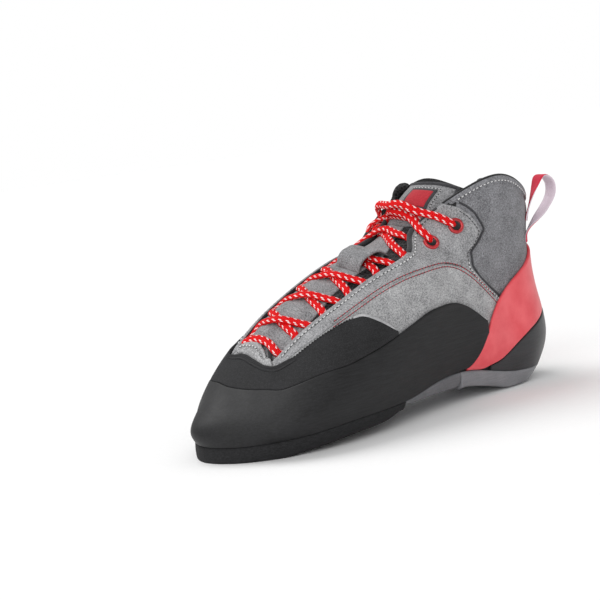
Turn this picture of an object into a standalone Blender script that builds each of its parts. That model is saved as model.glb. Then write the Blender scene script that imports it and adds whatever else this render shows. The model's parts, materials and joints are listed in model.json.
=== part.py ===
"""Laced climbing shoe, left foot, empty, standing on its sole.

The toe points to -Y, the heel to +Y, the outer (little toe) side is +X and
the floor is z = 0.  Metres throughout.
"""
import math

import bpy
import bmesh
import numpy as np

# driving sizes
LENGTH = 0.250
BALL_WIDTH = 0.092
INSTEP_HEIGHT = 0.100
SOLE_STACK = 0.009
WALL = 0.0018
COLLAR_PADDING = 0.0012
RUBBER = 0.0018
FIT_GAP = 0.00035
FACET_SPARE = 0.0003
RUBBER_SEAM = 0.0062
PANEL_STEP = 0.0008
FOREFOOT_SOLE_END = 0.448
ARCH_END = 0.660
ARCH_SET_BACK = 0.0028
INSOLE_THICKNESS = 0.0022
TONGUE_THICKNESS = 0.0042
TONGUE_RISE = 0.0020
TONGUE_HALF_WIDTH = 1.7
KEEPER_THICKNESS = 0.0014
LABEL_THICKNESS = 0.0010
LACE_DIAMETER = 0.0044
CROSSING_HUMP = 0.28
LACE_REACH = 0.80
EYELET_RADIUS = 0.0044
EYELET_HOLE_RADIUS = 0.0023
EYELET_BARREL = 0.0006
LOOP_WIDTH = 0.0110
LOOP_THICKNESS = 0.0012
COLUMNS_PER_RIB = 3

# ribs of the last from the toe, round the outer side, heel and inner side.
# every rib is five points (feather, widest, flank, shoulder, opening edge),
# each as along % of LENGTH, across % of BALL_WIDTH, up % of INSTEP_HEIGHT
RIBS = [
    ("toe", (-48, -15.8, 0), (-49.4, -16.3, 6), (-45.2, -16.3, 19), (-38.8, -14.1, 30), (-31.6, -7.6, 45)),
    ("outer 1", (-44.6, 15, 0), (-45, 16.3, 6.5), (-41.6, 14.1, 18), (-36.8, 9.8, 28), (-32.8, 3.3, 42)),
    ("outer 2", (-38, 31.5, 1), (-39.2, 36.4, 8), (-37.2, 33.7, 19), (-34.4, 23.9, 29), (-32.4, 10.9, 41)),
    ("outer 3", (-31.2, 41.3, 2.5), (-31.6, 46.2, 11), (-30.8, 41.8, 25), (-29.2, 29.3, 37),
     (-27.6, 12, 48.5)),
    ("outer 4", (-22, 45.7, 4.5), (-22, 49.5, 14), (-21.6, 45.7, 31), (-21.2, 33.7, 47), (-20.4, 16.3, 59)),
    ("outer 5", (-12, 43.5, 4.8), (-12, 46.7, 17), (-12, 44.6, 36), (-12.4, 35.9, 55), (-12.8, 19.6, 68)),
    ("outer 6", (-1.6, 38, 6), (-1.6, 41.8, 19), (-2, 42.4, 43), (-2.8, 38, 64), (-3.6, 23.9, 78)),
    ("outer 7", (8.8, 33.2, 10), (8.8, 37.5, 19), (8, 40.2, 46), (7.2, 38, 73), (5.2, 26.1, 87)),
    ("outer 8", (17.6, 31, 9.8), (17.6, 35.3, 18), (16.8, 38.6, 49), (14.4, 34.8, 81), (10, 17.4, 98)),
    ("outer 9", (24.8, 30.4, 6.2), (24.8, 34.8, 16), (24, 37.5, 53), (22.4, 35.9, 89), (20.8, 28.3, 113)),
    ("outer 10", (32, 30.4, 2.2), (32, 33.7, 15), (31.6, 34.8, 51), (32, 35.3, 89), (32, 36.4, 120.5)),
    ("outer 11", (39.6, 28, 0.4), (40.2, 32.6, 14), (39.8, 31.5, 48), (39.9, 30, 84), (40.7, 32.6, 113.5)),
    ("outer 12", (45.6, 17.4, 0), (47.6, 21.6, 15), (46.2, 20.4, 48), (45.8, 18.4, 78),
     (47.2, 19.6, 104.5)),
    ("heel", (47.4, 0, 0), (50.4, 0, 16), (49.2, 0, 50), (48.4, 0, 79), (49.8, 0, 100.5)),
    ("inner 12", (45.6, -16.6, 0), (47.4, -20.4, 15), (46, -19.4, 48), (45.6, -18, 78),
     (47.2, -19.6, 104.5)),
    ("inner 11", (39.4, -27, 0.4), (40, -31.2, 14), (39.6, -30.2, 48), (39.8, -29.6, 84),
     (40.7, -32.6, 113.5)),
    ("inner 10", (32, -30.4, 2.2), (32, -33.7, 15), (31.6, -34.8, 51), (32, -35.3, 89), (32, -36.4, 120.5)),
    ("inner 9", (24.8, -29.9, 6.2), (24.8, -33.7, 17), (24, -36.4, 53), (22.4, -34.8, 89),
     (20.8, -28.3, 113)),
    ("inner 8", (17.6, -29.3, 9.8), (17.6, -33.2, 21), (16.8, -37.5, 51), (14.4, -33.7, 83),
     (11.2, -17.4, 99)),
    ("inner 7", (8.8, -29.9, 11), (8.8, -33.7, 24), (8, -38, 49), (6.8, -34.8, 75), (5.2, -20.7, 90)),
    ("inner 6", (-1.6, -34.2, 12), (-1.6, -38.6, 25), (-2, -41.3, 47), (-2.8, -37, 69),
     (-3.6, -21.7, 84.5)),
    ("inner 5", (-12, -41.3, 10), (-12, -45.7, 22), (-12, -45.1, 43), (-12.4, -38, 62), (-12.8, -22.8, 76)),
    ("inner 4", (-22, -47.3, 6), (-22, -50.5, 16), (-22, -48.4, 36), (-21.6, -38.5, 54),
     (-21.2, -23.9, 66)),
    ("inner 3", (-31.2, -47.3, 2.5), (-31.6, -51.1, 11), (-31.2, -48, 27), (-30, -38.6, 42.5),
     (-28.4, -24.4, 55)),
    ("inner 2", (-39.4, -46.5, 0.5), (-39.6, -47.8, 8), (-38.4, -43.8, 21.5), (-35.8, -35.5, 34),
     (-32.6, -23.4, 45.5)),
    ("inner 1", (-45, -33, 0), (-44.8, -33.7, 6), (-42.2, -32, 19.5), (-38, -24.4, 31.5),
     (-32, -16.3, 44.5)),
]

# how high the pieces of the shell reach: station (rib number), share of the rib
RAND_TOP = [(-7.6, .44), (-6.7, .54), (-5.9, .53), (-5.0, .49), (-4.0, .46), (-2.9, .50), (-1.5, .58),
            (0.0, .60), (1.5, .64), (2.9, .515), (4.0, .456), (5.0, .48), (5.66, .506), (6.2, .531),
            (6.7, .55), (7.45, .488), (8.1, .394), (8.9, .28)]
PATCH_TOP = [(-5.6, .525), (-5.3, .62), (-4.9, .775), (-4.5, .79), (-3.7, .765), (-2.9, .79),
             (-2.4, .86), (-1.7, .93), (-0.8, .93), (0.3, .92), (1.6, .93), (2.4, .865), (2.9, .79),
             (3.74, .763), (4.55, .79), (4.95, .77), (5.4, .61), (5.62, .522)]
BAND_TOP = [(7.6, .01), (7.8, .03), (8.0, .075), (8.3, .16), (8.85, .285), (9.25, .365), (9.75, .43),
            (11.0, .575), (11.9, .69), (13.0, .79), (14.1, .69), (14.92, .581), (16.2, .47), (17.0, .40),
            (17.7, .29), (18.5, .15), (19.1, .05), (19.3, .02)]
BAND_FOOT = [(7.5, 0.0), (8.6667, 0.0), (9.0, .035), (9.3333, .052), (9.8, .10), (10.95, .238), (12.06, .35),
             (13.0, .40), (13.9, .35), (15.05, .238), (16.2, .10), (16.6667, .052), (17.0, .035),
             (17.3333, 0.0), (19.3, 0.0)]
# front edge of the ankle panel: share of the rib, station
PANEL_LINE = [(0.0, 10.0), (.30, 10.05), (.39, 9.67), (.463, 9.16), (.537, 8.77), (.606, 8.55), (.688, 8.62),
              (.72, 9.0), (.763, 9.26), (.869, 9.09), (.938, 8.92), (1.0, 8.72)]
EYELETS = [("eyelet_outer_low", 7.87, .862), ("eyelet_outer_high", 8.66, .856),
           ("eyelet_inner_low", 18.13, .862), ("eyelet_inner_high", 17.34, .856)]

# sole from toe to heel: along % of LENGTH, inset of the outer and inner bottom edge % of BALL_WIDTH,
# height of the outer and inner bottom edge % of INSTEP_HEIGHT
SOLE_ROWS = [
    (-50.0, 0.0, 0.0, 0.0, 0.0),
    (-44.0, 1.0, 0.5, 0.0, 0.0),
    (-36.8, 3.5, 2.0, 0.0, 0.0),
    (-32.0, 5.0, 3.0, 2.0, 1.5),
    (-22.0, 5.2, 4.0, 4.6, 3.6),
    (-12.0, 4.5, 5.0, 5.6, 6.4),
    (-8.6, 4.2, 5.0, 6.9, 8.0),
    (-5.2, 4.0, 5.0, 9.8, 10.2),
    (-4.2, 4.0, 5.0, 7.4, 8.6),
    (4.0, 3.0, 4.0, 7.8, 10.6),
    (12.0, 2.5, 3.5, 7.6, 9.8),
    (15.2, 2.5, 3.0, 7.8, 9.2),
    (16.0, 2.5, 3.0, 9.4, 10.0),
    (21.0, 2.5, 3.0, 7.2, 7.2),
    (26.8, 3.2, 3.2, 3.8, 3.8),
    (31.6, 4.2, 4.0, 0.2, 0.2),
    (32.4, 4.4, 4.0, 0.0, 0.0),
    (37.4, 4.8, 4.4, 0.0, 0.0),
    (41.0, 5.0, 4.8, 1.4, 1.4),
    (43.6, 5.2, 5.0, 3.0, 3.0),
    (46.4, 5.8, 5.6, 5.4, 5.4),
    (50.0, 6.0, 6.0, 8.2, 8.2),
]
TOE_SLIDE = -0.0005
HEEL_SLIDE = -0.0035

# tongue rows that lie under the laces: outer station, share of TONGUE_RISE
TONGUE_UNDER = [(1.55, -.60), (1.9, .05), (2.5, .80), (3.3, 1.0), (4.1, 1.0), (4.9, 1.0), (5.7, 1.0),
                (6.4, 1.0), (7.0, .9), (7.6, .8), (8.2, .7)]
# free end of the tongue: crest along %, crest up %, then side points as across %, set back %, drop %
TONGUE_FREE = [
    (13.6, 110.5, (15.0, 2.2, 2.5), (22.5, 5.2, 6.5)),
    (16.8, 116.5, (15.0, 2.2, 2.0), (22.5, 5.2, 6.0)),
    (19.2, 120.6, (14.5, 2.2, 1.6), (21.5, 5.0, 5.0)),
]
# crossings of the lace: outer station of the lower and the upper end
CROSSINGS = [(3.30, 3.78), (4.24, 4.75), (5.18, 5.62), (5.98, 6.38), (6.72, 7.40)]
BAR_STATION = 2.50


def natural_moments(knots, values):
    n = len(knots)
    rows = np.eye(n)
    right = np.zeros_like(values)
    for i in range(1, n - 1):
        before = knots[i] - knots[i - 1]
        after = knots[i + 1] - knots[i]
        rows[i, i - 1] = before
        rows[i, i] = 2 * (before + after)
        rows[i, i + 1] = after
        right[i] = 6 * ((values[i + 1] - values[i]) / after - (values[i] - values[i - 1]) / before)
    return np.linalg.solve(rows, right.reshape(n, -1)).reshape(values.shape)


def ring_moments(knots, values):
    n = len(values)
    steps = np.diff(knots)
    rows = np.zeros((n, n))
    right = np.zeros_like(values)
    for i in range(n):
        before = steps[i - 1]
        after = steps[i]
        rows[i, (i - 1) % n] += before
        rows[i, i] += 2 * (before + after)
        rows[i, (i + 1) % n] += after
        right[i] = 6 * ((values[(i + 1) % n] - values[i]) / after - (values[i] - values[i - 1]) / before)
    return np.linalg.solve(rows, right.reshape(n, -1)).reshape(values.shape)


def smooth_curve(knots, values, at, moments=None):
    """Cubic curve through the values; one more knot than values means a closed ring."""
    knots = np.asarray(knots, float)
    values = np.asarray(values, float)
    at = np.asarray(at, float)
    ring = len(knots) == len(values) + 1
    if moments is None:
        moments = ring_moments(knots, values) if ring else natural_moments(knots, values)
    if ring:
        at = knots[0] + np.mod(at - knots[0], knots[-1] - knots[0])
    i = np.clip(np.searchsorted(knots, at, side="right") - 1, 0, len(knots) - 2)
    j = (i + 1) % len(values)
    shape = at.shape + (1,) * (values.ndim - 1)
    span = (knots[i + 1] - knots[i]).reshape(shape)
    b = (at - knots[i]).reshape(shape) / span
    a = 1 - b
    bend = ((a ** 3 - a) * moments[i] + (b ** 3 - b) * moments[j]) * span * span / 6
    return a * values[i] + b * values[j] + bend


def chord_knots(points):
    steps = np.linalg.norm(np.diff(points, axis=0), axis=-1)
    while steps.ndim > 1:
        steps = steps.mean(axis=-1)
    knots = np.concatenate([[0.0], np.cumsum(steps)])
    return knots / knots[-1]


def ease(x):
    x = np.clip(x, 0.0, 1.0)
    return x * x * (3 - 2 * x)


def last_points():
    share = np.array([row[1:] for row in RIBS], float) / 100
    points = np.empty_like(share)
    points[..., 0] = share[..., 1] * BALL_WIDTH
    points[..., 1] = share[..., 0] * LENGTH
    points[..., 2] = share[..., 2] * INSTEP_HEIGHT + SOLE_STACK
    return points


LAST = last_points()
RING = chord_knots(np.concatenate([LAST, LAST[:1]])[:, 1:4])
RING_MOMENTS = ring_moments(RING, LAST)
RIB_COUNT = len(RIBS)


def station_to_ring(station):
    turns = np.floor(np.asarray(station, float) / RIB_COUNT)
    return turns + np.interp(station - turns * RIB_COUNT, np.arange(RIB_COUNT + 1), RING)


def last_surface(ring, share):
    ribs = smooth_curve(RING, LAST, ring, RING_MOMENTS)
    out = np.empty(share.shape + (3,))
    for k in range(len(ring)):
        out[k] = smooth_curve(chord_knots(ribs[k]), ribs[k], share[k])
    return out


def shell(station, share, lift):
    """Point on the last at a station and share of the rib, lifted off it by a distance."""
    station = np.atleast_1d(np.asarray(station, float))
    share = np.asarray(share, float)
    if share.ndim < 2:
        share = np.broadcast_to(np.atleast_1d(share), (len(station), np.atleast_1d(share).size))
    ring = station_to_ring(station)
    point = last_surface(ring, share)
    around = last_surface(ring + 3e-4, share) - last_surface(ring - 3e-4, share)
    upward = last_surface(ring, np.clip(share + 1e-3, 0, 1)) - last_surface(ring, np.clip(share - 1e-3, 0, 1))
    normal = np.cross(around, upward)
    normal /= np.linalg.norm(normal, axis=-1, keepdims=True)
    normal[..., 2] *= np.clip(share / 0.08, 0, 1)
    normal /= np.linalg.norm(normal, axis=-1, keepdims=True)
    return point + normal * np.broadcast_to(lift, share.shape)[..., None]


def leather_lift(share):
    """Leather lies below the last's outer line where rubber covers it."""
    return -(RUBBER + FIT_GAP) * (1 - ease((share - 0.15) / 0.75))


def row_height(table, station):
    stations = [row[0] for row in table]
    return np.interp(station, stations, [row[1] for row in table])


def columns(first, last):
    """Shared stations of the shell between two ends, both ends included."""
    step = 1 / COLUMNS_PER_RIB
    low = math.floor(first / step) + 1
    high = math.ceil(last / step) - 1
    inside = [k * step for k in range(low, high + 1) if first + 0.12 < k * step < last - 0.12]
    return np.array([first] + inside + [last])


def new_object(name, points, faces, material, group):
    mesh = bpy.data.meshes.new(name)
    bm = bmesh.new()
    verts = [bm.verts.new(p) for p in points]
    for face in faces:
        ring = []
        for index in face:
            if verts[index] not in ring:
                ring.append(verts[index])
        if len(ring) > 2:
            bm.faces.new(ring)
    bmesh.ops.remove_doubles(bm, verts=bm.verts, dist=1e-6)
    bmesh.ops.dissolve_degenerate(bm, dist=1e-6, edges=bm.edges)
    bmesh.ops.triangulate(bm, faces=bm.faces)
    bmesh.ops.recalc_face_normals(bm, faces=bm.faces)
    bm.to_mesh(mesh)
    bm.free()
    mesh.materials.append(material)
    thing = bpy.data.objects.new(name, mesh)
    group.objects.link(thing)
    return thing


def slab_mesh(outer, inner, ring=False):
    """Points and faces of the solid between two equal grids."""
    rows, cols = outer.shape[:2]
    points = [tuple(p) for p in outer.reshape(-1, 3)] + [tuple(p) for p in inner.reshape(-1, 3)]
    base = rows * cols

    def at(i, j, under):
        return (i % rows) * cols + j + (base if under else 0)

    faces = []
    count = rows if ring else rows - 1
    for i in range(count):
        for j in range(cols - 1):
            faces.append((at(i, j, 0), at(i + 1, j, 0), at(i + 1, j + 1, 0), at(i, j + 1, 0)))
            faces.append((at(i, j, 1), at(i, j + 1, 1), at(i + 1, j + 1, 1), at(i + 1, j, 1)))
        faces.append((at(i, 0, 1), at(i + 1, 0, 1), at(i + 1, 0, 0), at(i, 0, 0)))
        last = cols - 1
        faces.append((at(i, last, 0), at(i + 1, last, 0), at(i + 1, last, 1), at(i, last, 1)))
    if not ring:
        for j in range(cols - 1):
            faces.append((at(0, j, 0), at(0, j + 1, 0), at(0, j + 1, 1), at(0, j, 1)))
            end = rows - 1
            faces.append((at(end, j, 1), at(end, j + 1, 1), at(end, j + 1, 0), at(end, j, 0)))
    return points, faces


def ring_mesh(sections, closed_path=False):
    """Loft between closed rings of points, flat caps at both ends unless the path closes."""
    count = len(sections)
    size = len(sections[0])
    points = [tuple(p) for ring in sections for p in ring]
    faces = []
    for i in range(count if closed_path else count - 1):
        k = (i + 1) % count
        for j in range(size):
            m = (j + 1) % size
            faces.append((i * size + j, i * size + m, k * size + m, k * size + j))
    if not closed_path:
        faces.append(tuple(range(size))[::-1])
        faces.append(tuple((count - 1) * size + j for j in range(size)))
    return points, faces


# levels of the shell's mesh, as shares of the rib from feather to opening edge
SHELL_LEVELS = [0, .1, .22, .36, .50, .62, .73, .84, .985, 1.0]


# upper: one hollow shell, open at collar, throat and underneath
def upper_columns(share):
    """Stations of the shell's columns, bent so that two of them follow each ankle panel edge."""
    plain = np.arange(0, RIB_COUNT, 1 / COLUMNS_PER_RIB)
    line = np.interp(share, [row[0] for row in PANEL_LINE], [row[1] for row in PANEL_LINE])
    half = 0.05
    left = [7.0, 9.0 - half, 9.0 + half, 11.0]
    left_to = [7.0, line - half, line + half, 11.0]
    right = [RIB_COUNT - v for v in left[::-1]]
    right_to = [RIB_COUNT - v for v in left_to[::-1]]
    marks = sorted(set(np.round(np.concatenate([plain, left[1:3], right[1:3]]), 6)) - {9.0, RIB_COUNT - 9.0})
    return np.interp(marks, [0.0] + left + right + [RIB_COUNT], [0.0] + left_to + right_to + [RIB_COUNT])


def behind_panel(station, share):
    line = np.interp(share, [row[0] for row in PANEL_LINE], [row[1] for row in PANEL_LINE])
    folded = np.minimum(station, RIB_COUNT - station)
    return folded > line


def upper_lift(station, share):
    return leather_lift(share) - PANEL_STEP * behind_panel(station, share)


def wall_depth(station, share):
    """The wall thickens towards the collar, behind the ankle panel's front edge."""
    folded = np.minimum(station, RIB_COUNT - station)
    padded = ease((folded - 9.0) / 1.5) * ease((share - 0.62) / 0.2)
    return WALL + COLLAR_PADDING * padded


def build_upper(group, cutters, material):
    shares = np.array(SHELL_LEVELS)
    outer = []
    inner = []
    for share in shares:
        stations = upper_columns(share)
        level = np.full((len(stations), 1), share)
        lift = upper_lift(stations[:, None], level)
        depth = wall_depth(stations[:, None], level)
        round_off = 0.25 if share == 1.0 else 0.0
        outer.append(shell(stations, level, lift - round_off * depth))
        inner.append(shell(stations, level, lift - (1 - round_off) * depth))
    points, faces = slab_mesh(np.concatenate(outer, axis=1), np.concatenate(inner, axis=1), ring=True)
    upper = new_object("upper", points, faces, material, group)
    for name, station, share in EYELETS:
        centre, axis = eyelet_seat(station, share)
        side, other = cross_axes(axis)
        rings = []
        for height in (-4 * WALL, 3 * WALL):
            rings.append([centre + axis * height + (EYELET_HOLE_RADIUS + EYELET_BARREL + FIT_GAP)
                          * (side * math.cos(a) + other * math.sin(a))
                          for a in np.linspace(0, 2 * math.pi, 17)[:-1]])
        hole_points, hole_faces = ring_mesh(rings)
        cutter = new_object(name + "_hole", hole_points, hole_faces, material, cutters)
        cutter.hide_render = True
        cutter.display_type = "WIRE"
        cut = upper.modifiers.new(name, "BOOLEAN")
        cut.operation = "DIFFERENCE"
        cut.solver = "EXACT"
        cut.object = cutter
    return upper


def cross_axes(axis):
    side = np.cross(axis, (0.0, 0.0, 1.0))
    if np.linalg.norm(side) < 1e-6:
        side = np.array((1.0, 0.0, 0.0))
    side = side / np.linalg.norm(side)
    return side, np.cross(axis, side)


def eyelet_seat(station, share):
    level = np.array([[share]])
    lift = float(leather_lift(share))
    centre = shell([station], level, lift)[0, 0]
    raised = shell([station], level, lift + 0.001)[0, 0]
    axis = raised - centre
    return centre, axis / np.linalg.norm(axis)


# rubber pieces lie on the shell, thickness RUBBER, one fit gap off it
def rubber_piece(name, first, last, foot, top, rows, group, material):
    stations = columns(first, last)
    low = np.array([foot(s) for s in stations])
    high = np.array([top(s) for s in stations])
    if rows > 4:
        levels = np.repeat(np.array([SHELL_LEVELS[:4] + [1.0]]), len(stations), axis=0)
        levels[:, 4] = high
        share = low[:, None] + levels * (1 - low / high)[:, None]
        spare = FACET_SPARE / 3
    else:
        across = np.linspace(0, 1, rows)
        share = low[:, None] + (high - low)[:, None] * across[None, :]
        spare = FACET_SPARE
    under = leather_lift(share) + FIT_GAP + spare
    wrapped = np.mod(stations, RIB_COUNT)
    edge = np.ones_like(share)
    edge[:, -1] = 0.72
    if rows > 3:
        edge[:, 0] = np.where(low > 0.004, 0.8, 1.0)
    outer = shell(wrapped, share, under + RUBBER * edge)
    inner = shell(wrapped, share, under)
    points, faces = slab_mesh(outer, inner)
    return new_object(name, points, faces, material, group)


def band_top(station):
    return float(row_height(BAND_TOP, station))


def band_foot(station):
    return float(row_height(BAND_FOOT, station))


def rand_top(station):
    return float(row_height(RAND_TOP, station))


def rand_foot(station):
    wrapped = station % RIB_COUNT
    if 7.5 <= wrapped <= 19.3:
        return band_top(wrapped) + 2 * RUBBER_SEAM
    return 0.0


def patch_foot(station):
    return rand_top(station) + RUBBER_SEAM


def patch_top(station):
    return float(row_height(PATCH_TOP, station))


def cup_foot(station):
    return 0.0


def cup_top(station):
    return band_foot(station) - RUBBER_SEAM


def build_rubber(group, materials):
    rubber_piece("rand", -7.35, 8.68, rand_foot, rand_top, 5, group, materials["rand"])
    rubber_piece("toe_patch", -5.45, 5.55, patch_foot, patch_top, 4, group, materials["patch"])
    rubber_piece("heel_band", 7.78, 19.12, band_foot, band_top, 4, group, materials["band"])
    rubber_piece("heel_cup", 9.0, 17.0, cup_foot, cup_top, 4, group, materials["cup"])


# sole: three pieces of one outline, split across the foot
def outline():
    """Outer and inner feather edge as functions of the place along the foot."""
    dense = np.arange(0, RIB_COUNT, 0.05)
    rim = shell(dense, np.zeros((len(dense), 1)), 0.0)[:, 0]
    toe = int(rim[:, 1].argmin())
    rim = np.roll(rim, -toe, axis=0)
    heel = int(rim[:, 1].argmax())
    outer = rim[:heel + 1]
    inner = np.concatenate([rim[heel:], rim[:1]])[::-1]
    return outer, inner


OUTER_EDGE, INNER_EDGE = outline()
TOE_END = float(OUTER_EDGE[0, 1])
HEEL_END = float(OUTER_EDGE[-1, 1])


def edge_point(edge, along):
    order = np.argsort(edge[:, 1])
    return np.array([np.interp(along, edge[order, 1], edge[order, k]) for k in range(3)])


def footbed(along, across):
    """Top face of the sole: across 0 is the outer edge, 1 the inner edge."""
    outer = edge_point(OUTER_EDGE, along)
    inner = edge_point(INNER_EDGE, along)
    point = outer + (inner - outer) * across
    point[2] = outer[2] + (inner[2] - outer[2]) * float(ease(across)) - FIT_GAP
    point[1] = along
    return point


def sole_row(along):
    table = np.array(SOLE_ROWS)
    place = table[:, 0] / 100 * LENGTH
    return [float(np.interp(along, place, table[:, k])) / 100 for k in range(1, 5)]


def along_of(share):
    return TOE_END + (HEEL_END - TOE_END) * share


def sole_piece(name, start, end, raise_by, group, material):
    places = []
    count = max(6, int((end - start) * 34))
    for k in range(count + 1):
        x = k / count
        if start == 0.0:
            x = 1 - math.cos(x * math.pi / 2)
        elif end == 1.0:
            x = math.sin(x * math.pi / 2)
        places.append(along_of(start + (end - start) * x))
    across = np.array([0, .18, .38, .62, .82, 1.0])
    sections = []
    for along in places:
        outer = footbed(along, 0.0)
        inner = footbed(along, 1.0)
        inset_out, inset_in, height_out, height_in = sole_row(along)
        width = abs(outer[0] - inner[0])
        limit = 0.30 * width
        low_out = outer.copy()
        low_in = inner.copy()
        low_out[0] -= min(inset_out * BALL_WIDTH, limit)
        low_in[0] += min(inset_in * BALL_WIDTH, limit)
        low_out[2] = height_out * INSTEP_HEIGHT + raise_by
        low_in[2] = height_in * INSTEP_HEIGHT + raise_by
        slide = TOE_SLIDE * (1 - ease((along - TOE_END) / (0.08 * LENGTH)))
        slide += HEEL_SLIDE * (1 - ease((HEEL_END - along) / (0.10 * LENGTH)))
        low_out[1] += slide
        low_in[1] += slide
        mid_out = outer * 0.45 + low_out * 0.55
        mid_in = inner * 0.45 + low_in * 0.55
        bulge = 0.0006 * min(1.0, width / (0.3 * BALL_WIDTH))
        mid_out[0] += bulge
        mid_in[0] -= bulge
        ring = [footbed(along, v) for v in across] + [mid_in]
        ring += [low_in + (low_out - low_in) * v for v in across] + [mid_out]
        sections.append(ring)
    points, faces = ring_mesh(sections)
    return new_object(name, points, faces, material, group)


def build_sole(group, materials):
    half = FIT_GAP / 2 / (HEEL_END - TOE_END)
    sole_piece("outsole_forefoot", 0.0, FOREFOOT_SOLE_END - half, 0.0, group, materials["sole"])
    sole_piece("arch_panel", FOREFOOT_SOLE_END + half, ARCH_END - half, ARCH_SET_BACK,
               group, materials["arch"])
    sole_piece("outsole_heel", ARCH_END + half, 1.0, 0.0, group, materials["sole"])


# insole: lies on the footbed inside the wall
def build_insole(group, material):
    inset = RUBBER + FIT_GAP + WALL + 4 * FACET_SPARE
    first = TOE_END + 1.6 * inset
    last = HEEL_END - 1.6 * inset
    count = 16
    top = []
    low = []
    for k in range(count + 1):
        along = first + (last - first) * (0.5 - 0.5 * math.cos(k / count * math.pi))
        outer = edge_point(OUTER_EDGE, along)
        inner = edge_point(INNER_EDGE, along)
        width = outer[0] - inner[0]
        end = min(along - first, last - along) / (0.10 * LENGTH)
        round_end = math.sqrt(max(0.0, 1 - (1 - min(1.0, end)) ** 2))
        margin = inset / width
        half = (0.5 - margin) * (0.25 + 0.75 * round_end)
        line = [footbed(along, 0.5 - half + 2 * half * v) for v in np.linspace(0, 1, 6)]
        low.append([p + np.array((0, 0, FIT_GAP + 2 * FACET_SPARE)) for p in line])
        top.append([p + np.array((0, 0, FIT_GAP + 2 * FACET_SPARE + INSOLE_THICKNESS)) for p in line])
    points, faces = slab_mesh(np.array(top), np.array(low))
    return new_object("insole", points, faces, material, group)


# tongue: a padded sheet that lies under the throat edges and stands free at the top
ACROSS_KNOTS = np.array([-TONGUE_HALF_WIDTH, -1.0, 0.0, 1.0, TONGUE_HALF_WIDTH])


def tongue_rows():
    rows = []
    under = FIT_GAP + 4 * FACET_SPARE
    for station, rise in TONGUE_UNDER:
        marks = []
        for side in (-1, 1):
            here = station if side > 0 else RIB_COUNT - station
            depth = -WALL - under
            far = shell([here], np.array([[.82]]), leather_lift(.82) + depth)[0, 0]
            near = shell([here], np.array([[.985]]), leather_lift(.985) + depth)[0, 0]
            lifted = shell([here], np.array([[.985]]), leather_lift(.985) + depth + 0.01)[0, 0]
            marks.append((far, near, (lifted - near) / 0.01))
        up = marks[0][2] + marks[1][2]
        up /= np.linalg.norm(up)
        crest = (marks[0][1] + marks[1][1]) / 2 + up * TONGUE_RISE * rise
        rows.append([marks[0][0], marks[0][1], crest, marks[1][1], marks[1][0]])
    for along, up, near, far in TONGUE_FREE:
        crest = np.array((0.0, along / 100 * LENGTH, up / 100 * INSTEP_HEIGHT + SOLE_STACK))
        row = [crest]
        for across, back, drop in (near, far):
            shift = np.array((across / 100 * BALL_WIDTH, back / 100 * LENGTH, -drop / 100 * INSTEP_HEIGHT))
            row.append(crest + shift)
            row.insert(0, crest + shift * np.array((-1, 1, 1)))
        rows.append(row)
    return np.array(rows)


TONGUE = tongue_rows()
TONGUE_KNOTS = chord_knots(TONGUE[:, 1:4])
TONGUE_MOMENTS = natural_moments(TONGUE_KNOTS, TONGUE)


def tongue_place(station):
    """Place along the tongue that lies between the throat edges at an outer station."""
    return np.interp(station, [row[0] for row in TONGUE_UNDER], TONGUE_KNOTS[:len(TONGUE_UNDER)])


def tongue_face(along, across, lift=0.0):
    """Point of the tongue's outer face, along 0..1 toe to top, across -1..1 between the edges."""
    along = np.asarray(along, float)
    across = np.asarray(across, float)

    def face(u, v):
        rows = smooth_curve(TONGUE_KNOTS, TONGUE, u, TONGUE_MOMENTS)
        return np.array([smooth_curve(ACROSS_KNOTS, rows[k], v[k]) for k in range(len(u))])

    point = face(along, across)
    forward = face(np.clip(along + 2e-3, 0, 1), across) - face(np.clip(along - 2e-3, 0, 1), across)
    sideways = face(along, across + 1e-2) - face(along, across - 1e-2)
    normal = np.cross(sideways, forward)
    normal /= np.linalg.norm(normal, axis=-1, keepdims=True)
    return point + normal * np.broadcast_to(lift, along.shape)[..., None]


def tongue_grid(low, high, left, right, rows, cols, lift):
    out = []
    for u in np.linspace(low, high, rows):
        v = np.linspace(left, right, cols)
        out.append(tongue_face(np.full(cols, u), v, np.broadcast_to(lift, (cols,))))
    return np.array(out)


# keeper strap over the lace: outer stations of its ends, half its width
KEEPER = (5.76, 6.62, 0.45)
# woven label at the top: place along the tongue from and to, across from and to
LABEL = (0.895, 0.975, -0.18, 0.95)


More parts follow.
